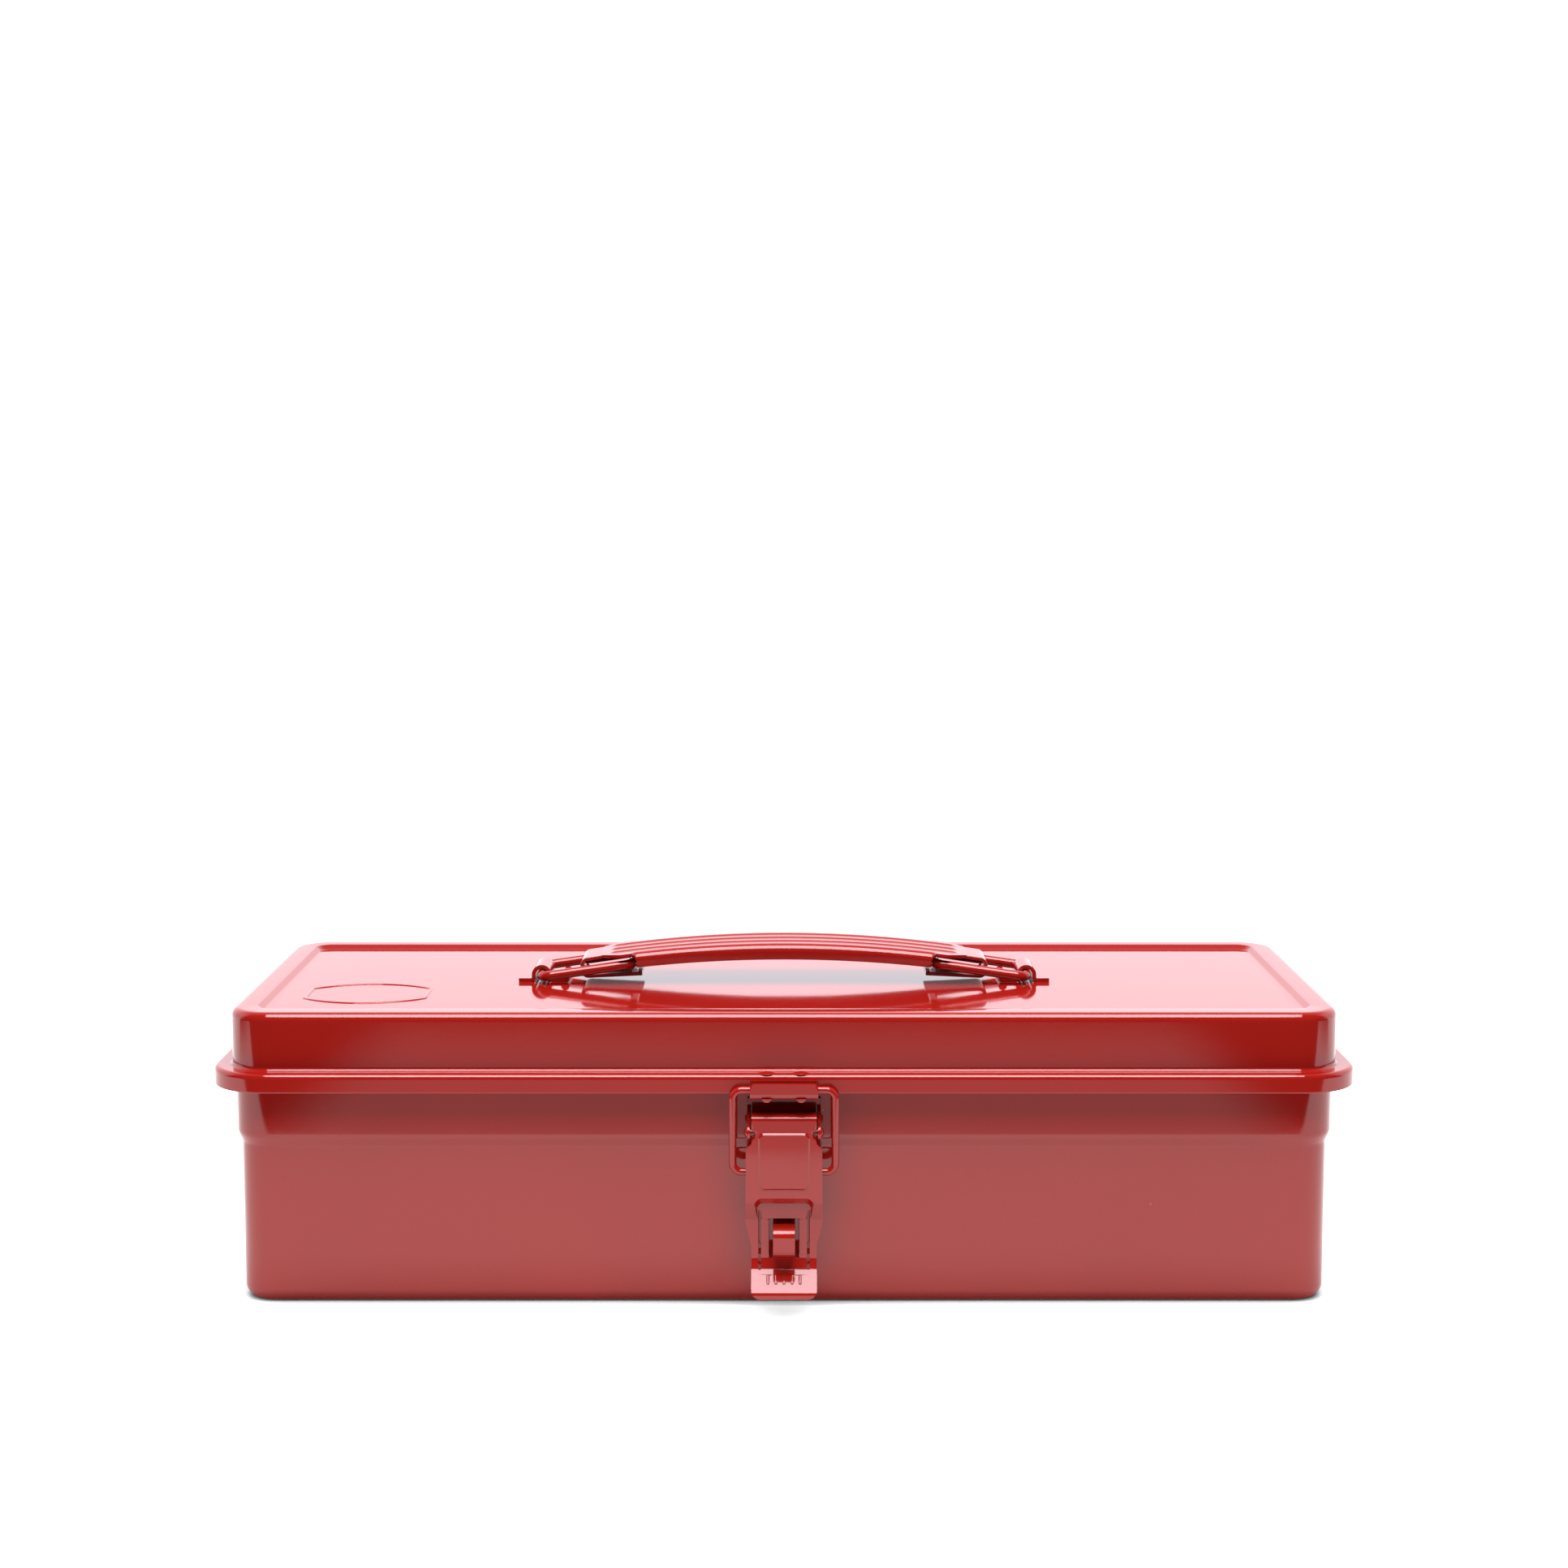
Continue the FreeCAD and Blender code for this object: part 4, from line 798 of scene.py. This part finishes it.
# ---- handle grip ---------------------------------------------------------------------------
@dataclass
class Grip:
    """Arched handle plate with turned-down sides, three soft ribs and two curled tongues."""

    top_z: float = 97.7035
    arch_r: float = 380.0
    half_y: float = 12.0
    edge_r: float = 2.4
    sheet: float = 1.1
    skirt_height: float = 4.7
    skirt_arch_r: float = 406.0
    skirt_half_x: float = 45.0
    fold_fade: float = 1.5
    neck_start: float = 50.0
    neck_end: float = 56.0
    neck_half_y: float = 7.5
    tongue_half_x: float = 62.5
    tongue_lap: float = 0.12
    curl_r: float = 2.48
    curl_height: float = 6.1
    return_half_x: float = 43.5
    return_drop: float = 8.0
    rib_half_x: float = 54.0
    rib_pitch: float = 6.0
    rib_half_width: float = 1.5
    rib_rise: float = 0.42
    rib_fade: float = 2.0
    edge_steps: int = 6
    across_steps: int = 56
    station_step: float = 1.5
    station_gap: float = 0.5
    neck_steps: int = 22
    skirt_end_hold: float = 0.2
    skirt_top_hold: float = 0.2
    skirt_low_share: float = 0.9
    same_x: float = 0.001
    tongue_overlap: float = 3.0
    tongue_edge_hold: float = 0.3
    curl_steps: int = 9
    paint_r: float = 0.16
    crease_angle: float = math.radians(50.0)

    def _fall(self, x: float, radius: float) -> float:
        """Drop of an arch at x."""
        return radius - math.sqrt(radius ** 2 - x ** 2)

    def _rib(self, x: float, y: float) -> float:
        """Rise of the long ribs."""
        fade = min(1.0, max(0.0, (self.rib_half_x - abs(x)) / self.rib_fade))
        fade = fade * fade * (3 - 2 * fade)
        rise = 0.0
        for row in (-1, 0, 1):
            away = abs(y - row * self.rib_pitch) / self.rib_half_width
            if away < 1.0:
                rise += self.rib_rise * (0.5 + 0.5 * math.cos(math.pi * away))
        return rise * fade

    def _across(self, half: float) -> list[tuple[float, float]]:
        """Points over the top as (y, drop), from front fillet to back fillet."""
        front = []
        for step in range(self.edge_steps + 1):
            angle = math.pi / 2 * (1 - step / self.edge_steps)
            front.append((-half + self.edge_r * (1 - math.sin(angle)), self.edge_r * (1 - math.cos(angle))))
        flat = half - self.edge_r
        count = self.across_steps
        top = [(-flat + 2 * flat * step / count, 0.0) for step in range(1, count)]
        return front + top + [(-y, drop) for y, drop in reversed(front)]

    def build(self) -> None:
        """Make the plate as one open sheet and give it its thickness."""
        sculptor = Sculptor()
        verts = sculptor.mesh.verts
        last_crown, last_sides = [], ([], [])
        for x in self._stations():
            half = self._half(x)
            z = self.top_z - self._fall(x, self.arch_r)
            fold = 1.0 - min(1.0, max(0.0, (abs(x) - self.skirt_half_x) / self.fold_fade))
            points = [Vector((x, y, z - drop * fold + self._rib(x, y))) for y, drop in self._across(half)]
            skirt = self._skirt(x, z - self.edge_r)
            crown = [verts.new(point * MM) for point in points]
            sides = tuple([verts.new(Vector((x, side * half, height)) * MM) for height in skirt]
                          for side in (-1, 1))
            if last_crown:
                sculptor.skin(last_crown, crown)
            for end, last_side, side in zip((0, -1), last_sides, sides):
                if last_side and side:
                    sculptor.skin([last_crown[end]] + last_side, [crown[end]] + side)
            last_crown, last_sides = crown, sides
        piece = sculptor.finish("grip_plate", Body.GRIP, Slot.GRIP, "handle_grip")
        self._thicken(piece)
        for side, word in ((-1, "left"), (1, "right")):
            self._tongue(side, word)

    def _skirt(self, x: float, side_z: float) -> list[float]:
        """Heights of the turned-down side's points at x, none outside the skirt.

        Args:
            x: place of the cross-section.
            side_z: height where the fold ends and the side begins.

        Returns:
            Heights from the top down.
        """
        if abs(x) > self.skirt_half_x + self.same_x:
            return []
        low = self.top_z - self.skirt_height - self._fall(x, self.skirt_arch_r)
        return [side_z - self.skirt_top_hold, side_z + (low - side_z) * self.skirt_low_share, low]

    def _stations(self) -> list[float]:
        """X places of the plate's cross-sections, closer where its outline changes."""
        half = []
        x = 0.0
        while x < self.skirt_half_x - self.station_gap:
            half.append(x)
            x += self.station_step
        half.extend((self.skirt_half_x - self.skirt_end_hold, self.skirt_half_x))
        half.extend(self.skirt_half_x + (self.neck_end - self.skirt_half_x) * (step + 1) / self.neck_steps
                    for step in range(self.neck_steps))
        return sorted({-value for value in half} | set(half))

    def _half(self, x: float) -> float:
        """Half width of the plate at x, which tapers to the neck."""
        share = min(1.0, max(0.0, (abs(x) - self.neck_start) / (self.neck_end - self.neck_start)))
        return self.half_y + (self.neck_half_y - self.half_y) * share

    def _thicken(self, piece: bpy.types.Object) -> None:
        """Give an open sheet its thickness inward, with softened cut edges."""
        solid = piece.modifiers.new("sheet", "SOLIDIFY")
        solid.thickness = self.sheet * MM
        solid.offset = -1.0
        edge = piece.modifiers.new("paint_edge", "BEVEL")
        edge.width = self.paint_r * MM
        edge.segments = 2
        edge.limit_method = "ANGLE"
        edge.angle_limit = self.crease_angle

    def _tongue(self, side: int, word: str) -> None:
        """Tongue that curls round the ring's inner bar and back under the plate."""
        start = self.neck_end - self.tongue_overlap
        x_end = self.tongue_half_x
        z_start = self.top_z - self._fall(start, self.arch_r) - self.tongue_lap
        z_top = self.top_z - self._fall(x_end, self.arch_r) - self.tongue_lap
        z_low = z_top - self.curl_height
        z_back = self.top_z - self._fall(self.return_half_x, self.arch_r) - self.return_drop
        walk = Lathe(0.0, 0.0, 0.0)
        walk.to(start, z_start, 1.0)
        walk.bend((x_end, z_top), (start, z_start), (x_end, z_low), self.curl_r, self.curl_steps)
        walk.bend((x_end, z_low), (x_end, z_top), (self.return_half_x, z_back), self.curl_r, self.curl_steps)
        walk.to(self.return_half_x, z_back, 1.0)
        sculptor = Sculptor()
        half = self.neck_half_y
        hold = self.tongue_edge_hold
        ys = (-half, -half + hold, 0.0, half - hold, half)
        rows = [[sculptor.mesh.verts.new(Vector((side * ring.half_x, y, ring.z)) * MM) for y in ys]
                for ring in walk.rings]
        for low, high in zip(rows, rows[1:]):
            sculptor.skin(low, high)
        self._thicken(sculptor.finish("grip_tongue_" + word, Body.GRIP, Slot.GRIP))


# ---- studio --------------------------------------------------------------------------------
@dataclass(frozen=True)
class SoftBox:
    """Rectangular lamp aimed at the box."""

    name: str
    radiance: float
    size: Pair
    place: Triple
    colour: Triple = (1.0, 1.0, 1.0)
    aim: Triple = (0.0, 0.0, 0.05)

    def build(self) -> None:
        """Hang the lamp."""
        lamp = bpy.data.lights.new(self.name, "AREA")
        lamp.shape = "RECTANGLE"
        lamp.size, lamp.size_y = self.size
        lamp.color = self.colour
        lamp.energy = self.radiance * math.pi * self.size[0] * self.size[1]
        light = bpy.data.objects.new(self.name, lamp)
        bpy.context.scene.collection.objects.link(light)
        light.location = self.place
        light.rotation_euler = (Vector(self.aim) - Vector(self.place)).to_track_quat("-Z", "Y").to_euler()
        light.visible_camera = False


@dataclass(frozen=True)
class LitZone:
    """Lit part of the floor: it fades in towards the back and, with x_range, out to both sides."""

    radiance: float
    y_range: Pair
    x_range: Pair | None = None

    def strength(self, graph: Graph, x: Wire, y: Wire) -> Wire:
        """Light given back at a place of the floor.

        Args:
            graph: the floor's graph.
            x: place along X in metres.
            y: place along Y in metres.

        Returns:
            Emission strength.
        """
        found = graph.ramp(y, *self.y_range) * self.radiance
        if self.x_range:
            found = found * (1.0 - graph.ramp(abs(x), *self.x_range))
        return found


@dataclass
class Studio:
    """Pale floor, soft lights and camera."""

    camera_height: float = 0.2382
    camera_distance: float = 0.7866
    camera_pitch: float = math.radians(6.72)
    focal_length: float = 59.18
    floor_half: float = 3.0
    zones: tuple[LitZone, ...] = (
        LitZone(1.95, (-0.256, -0.244), (0.45, 0.6)),
        LitZone(0.85, (-0.5, -0.38), (0.17, 0.21)),
        LitZone(1.95, (-0.05, 0.03)),
    )
    floor_least: float = 0.06
    floor_to_eye: float = 3.0
    floor_colour: Triple = (1.0, 0.995, 0.995)
    touch_reach: float = 0.0045
    touch_power: float = 1.4
    shade_reach: float = 0.05
    shade_samples: int = 4
    sheen_share: float = 0.03
    sheen_grey: Triple = (0.9, 0.9, 0.9)
    sheen_rough: float = 0.16
    sweep_strength: float = 1.78
    sweep_range: Pair = (-0.25, 0.12)
    room_strength: float = 0.07
    ceiling_range: Pair = (0.55, 0.85)
    ceiling_drop: float = 0.7
    world_to_eye: float = 1.03
    world_colour: Triple = (0.95, 0.94, 1.0)
    lamps: tuple[SoftBox, ...] = (
        SoftBox("overhead", 12.0, (0.8, 0.86), (0.0, -0.38, 1.06), (1.0, 0.96, 1.0)),
    )

    def build(self) -> None:
        """Make the floor, world, lights and camera."""
        self._floor()
        self._world()
        for lamp in self.lamps:
            lamp.build()
        self._camera()
        scene = bpy.context.scene
        scene.view_settings.view_transform = "Standard"
        scene.cycles.use_denoising = True
        scene.cycles.max_bounces = 8
        scene.cycles.sample_clamp_indirect = 6.0
        log.info("studio ready")

    def _floor(self) -> None:
        """Flat floor, white to the eye, shaded where the box stands on it."""
        sheet = bmesh.new()
        bmesh.ops.create_grid(sheet, x_segments=1, y_segments=1, size=self.floor_half)
        mesh = bpy.data.meshes.new("floor")
        sheet.to_mesh(mesh)
        sheet.free()
        floor = bpy.data.objects.new("floor", mesh)
        bpy.context.scene.collection.objects.link(floor)
        material = bpy.data.materials.new("floor_paper")
        material.use_nodes = True
        graph = Graph(material.node_tree)
        samples = {"samples": self.shade_samples}
        near = graph.node("AmbientOcclusion", samples, {"Distance": self.touch_reach}, output="AO")
        wide = graph.node("AmbientOcclusion", samples, {"Distance": self.shade_reach}, output="AO")
        shade = graph.math("POWER", near, self.touch_power) * wide
        x, y, _ = graph.split(graph.place())
        front, room, beside = (zone.strength(graph, x, y) for zone in self.zones)
        lit = graph.math("MAXIMUM", graph.math("MAXIMUM", front, room), beside) + self.floor_least
        eye = graph.node("LightPath", output="Is Camera Ray")
        strength = shade * (eye * self.floor_to_eye + (1.0 - eye) * lit)
        glow = graph.node("Emission", inputs={"Color": (*self.floor_colour, 1.0), "Strength": strength})
        sheen = graph.node("BsdfGlossy", inputs={"Color": (*self.sheen_grey, 1.0),
                                                 "Roughness": self.sheen_rough})
        surface = graph.node("MixShader", inputs={0: eye * self.sheen_share, 1: glow, 2: sheen})
        graph.node("OutputMaterial", inputs={"Surface": surface})
        mesh.materials.append(material)

    def _world(self) -> None:
        """Bright sweep behind and beside the box, dark towards the camera, white to the eye."""
        world = bpy.data.worlds.new("studio")
        bpy.context.scene.world = world
        world.use_nodes = True
        graph = Graph(world.node_tree)
        x, y, z = graph.split(graph.node("TexCoord", output="Generated"))
        above_zero = 0.0001
        flat = graph.math("SQRT", x * x + y * y + above_zero)
        behind = graph.ramp(y / flat, *self.sweep_range)
        ceiling = 1.0 - graph.ramp(z, *self.ceiling_range) * self.ceiling_drop
        strength = (behind * self.sweep_strength + self.room_strength) * ceiling
        eye = graph.node("LightPath", output="Is Camera Ray")
        total = eye * self.world_to_eye + (1.0 - eye) * strength
        cool = graph.mix_colour(eye, (*self.world_colour, 1.0), (1.0, 1.0, 1.0, 1.0))
        surface = graph.node("Background", inputs={"Color": cool, "Strength": total})
        graph.node("OutputWorld", inputs={"Surface": surface})

    def _camera(self) -> None:
        """Level camera in front of the box, tipped slightly down."""
        lens = bpy.data.cameras.new("camera")
        lens.sensor_width = 36.0
        lens.lens = self.focal_length
        lens.clip_start = 0.01
        lens.clip_end = 20.0
        camera = bpy.data.objects.new("camera", lens)
        camera.location = (0.0, -self.camera_distance, self.camera_height)
        camera.rotation_euler = (math.pi / 2 - self.camera_pitch, 0.0, 0.0)
        bpy.context.scene.collection.objects.link(camera)
        bpy.context.scene.camera = camera


# ---- carried-over CAD pieces ---------------------------------------------------------------
@dataclass
class Dressing:
    """Finishes for the CAD nodes that are shown as they are."""

    smooth_angle: float = math.radians(32.0)
    edge_r: float = 0.00014

    def smoothing(self) -> bpy.types.NodeTree:
        """Node group that shades a mesh smooth except across its creases."""
        tree = bpy.data.node_groups.new("smooth_shading", "GeometryNodeTree")
        tree.interface.new_socket("Geometry", in_out="INPUT", socket_type="NodeSocketGeometry")
        tree.interface.new_socket("Geometry", in_out="OUTPUT", socket_type="NodeSocketGeometry")
        start = tree.nodes.new("NodeGroupInput")
        faces = tree.nodes.new("GeometryNodeSetShadeSmooth")
        faces.domain = "FACE"
        edges = tree.nodes.new("GeometryNodeSetShadeSmooth")
        edges.domain = "EDGE"
        angle = tree.nodes.new("GeometryNodeInputMeshEdgeAngle")
        flat = tree.nodes.new("FunctionNodeCompare")
        flat.operation = "LESS_EQUAL"
        flat.inputs[1].default_value = self.smooth_angle
        end = tree.nodes.new("NodeGroupOutput")
        tree.links.new(start.outputs[0], faces.inputs["Geometry"])
        tree.links.new(faces.outputs[0], edges.inputs["Geometry"])
        tree.links.new(angle.outputs[0], flat.inputs[0])
        tree.links.new(flat.outputs[0], edges.inputs["Shade Smooth"])
        tree.links.new(edges.outputs[0], end.inputs[0])
        return tree

    def build(self) -> None:
        """Give each CAD node its finish, paint-softened edges and smooth shading."""
        tree = self.smoothing()
        slots = {entry["node"]: entry["material_slot"] for entry in frame["record"]["subparts"]}
        for name, node in frame["nodes"].items():
            node.data.materials.clear()
            node.data.materials.append(Slot(slots[name]).material())
            weld = node.modifiers.new("weld", "WELD")
            weld.merge_threshold = WELD_DISTANCE
            edge = node.modifiers.new("paint_edge", "BEVEL")
            edge.width = self.edge_r
            edge.segments = 2
            edge.limit_method = "ANGLE"
            edge.angle_limit = self.smooth_angle
            smooth = node.modifiers.new("smooth", "NODES")
            smooth.node_group = tree
            even = node.modifiers.new("even_normals", "WEIGHTED_NORMAL")
            even.keep_sharp = True
            log.info("dressed %s", name)


def main() -> None:
    """Build every class in order."""
    logging.basicConfig(level=logging.INFO, format="%(name)s: %(message)s")
    for finish in (Enamel(Slot.BODY), Enamel(Slot.FITTINGS, gloss=0.08, dust=0.5),
                   Enamel(Slot.WIRE, gloss=0.09, rub=1.0, dust=0.3),
                   Enamel(Slot.GRIP, gloss=0.11, rub=0.8, dust=0.4)):
        finish.build()
    Studio().build()
    Shells().build()
    Wires().build()
    TabStrokes().build()
    Grip().build()
    Dressing().build()


if __name__ == "__main__":
    main()
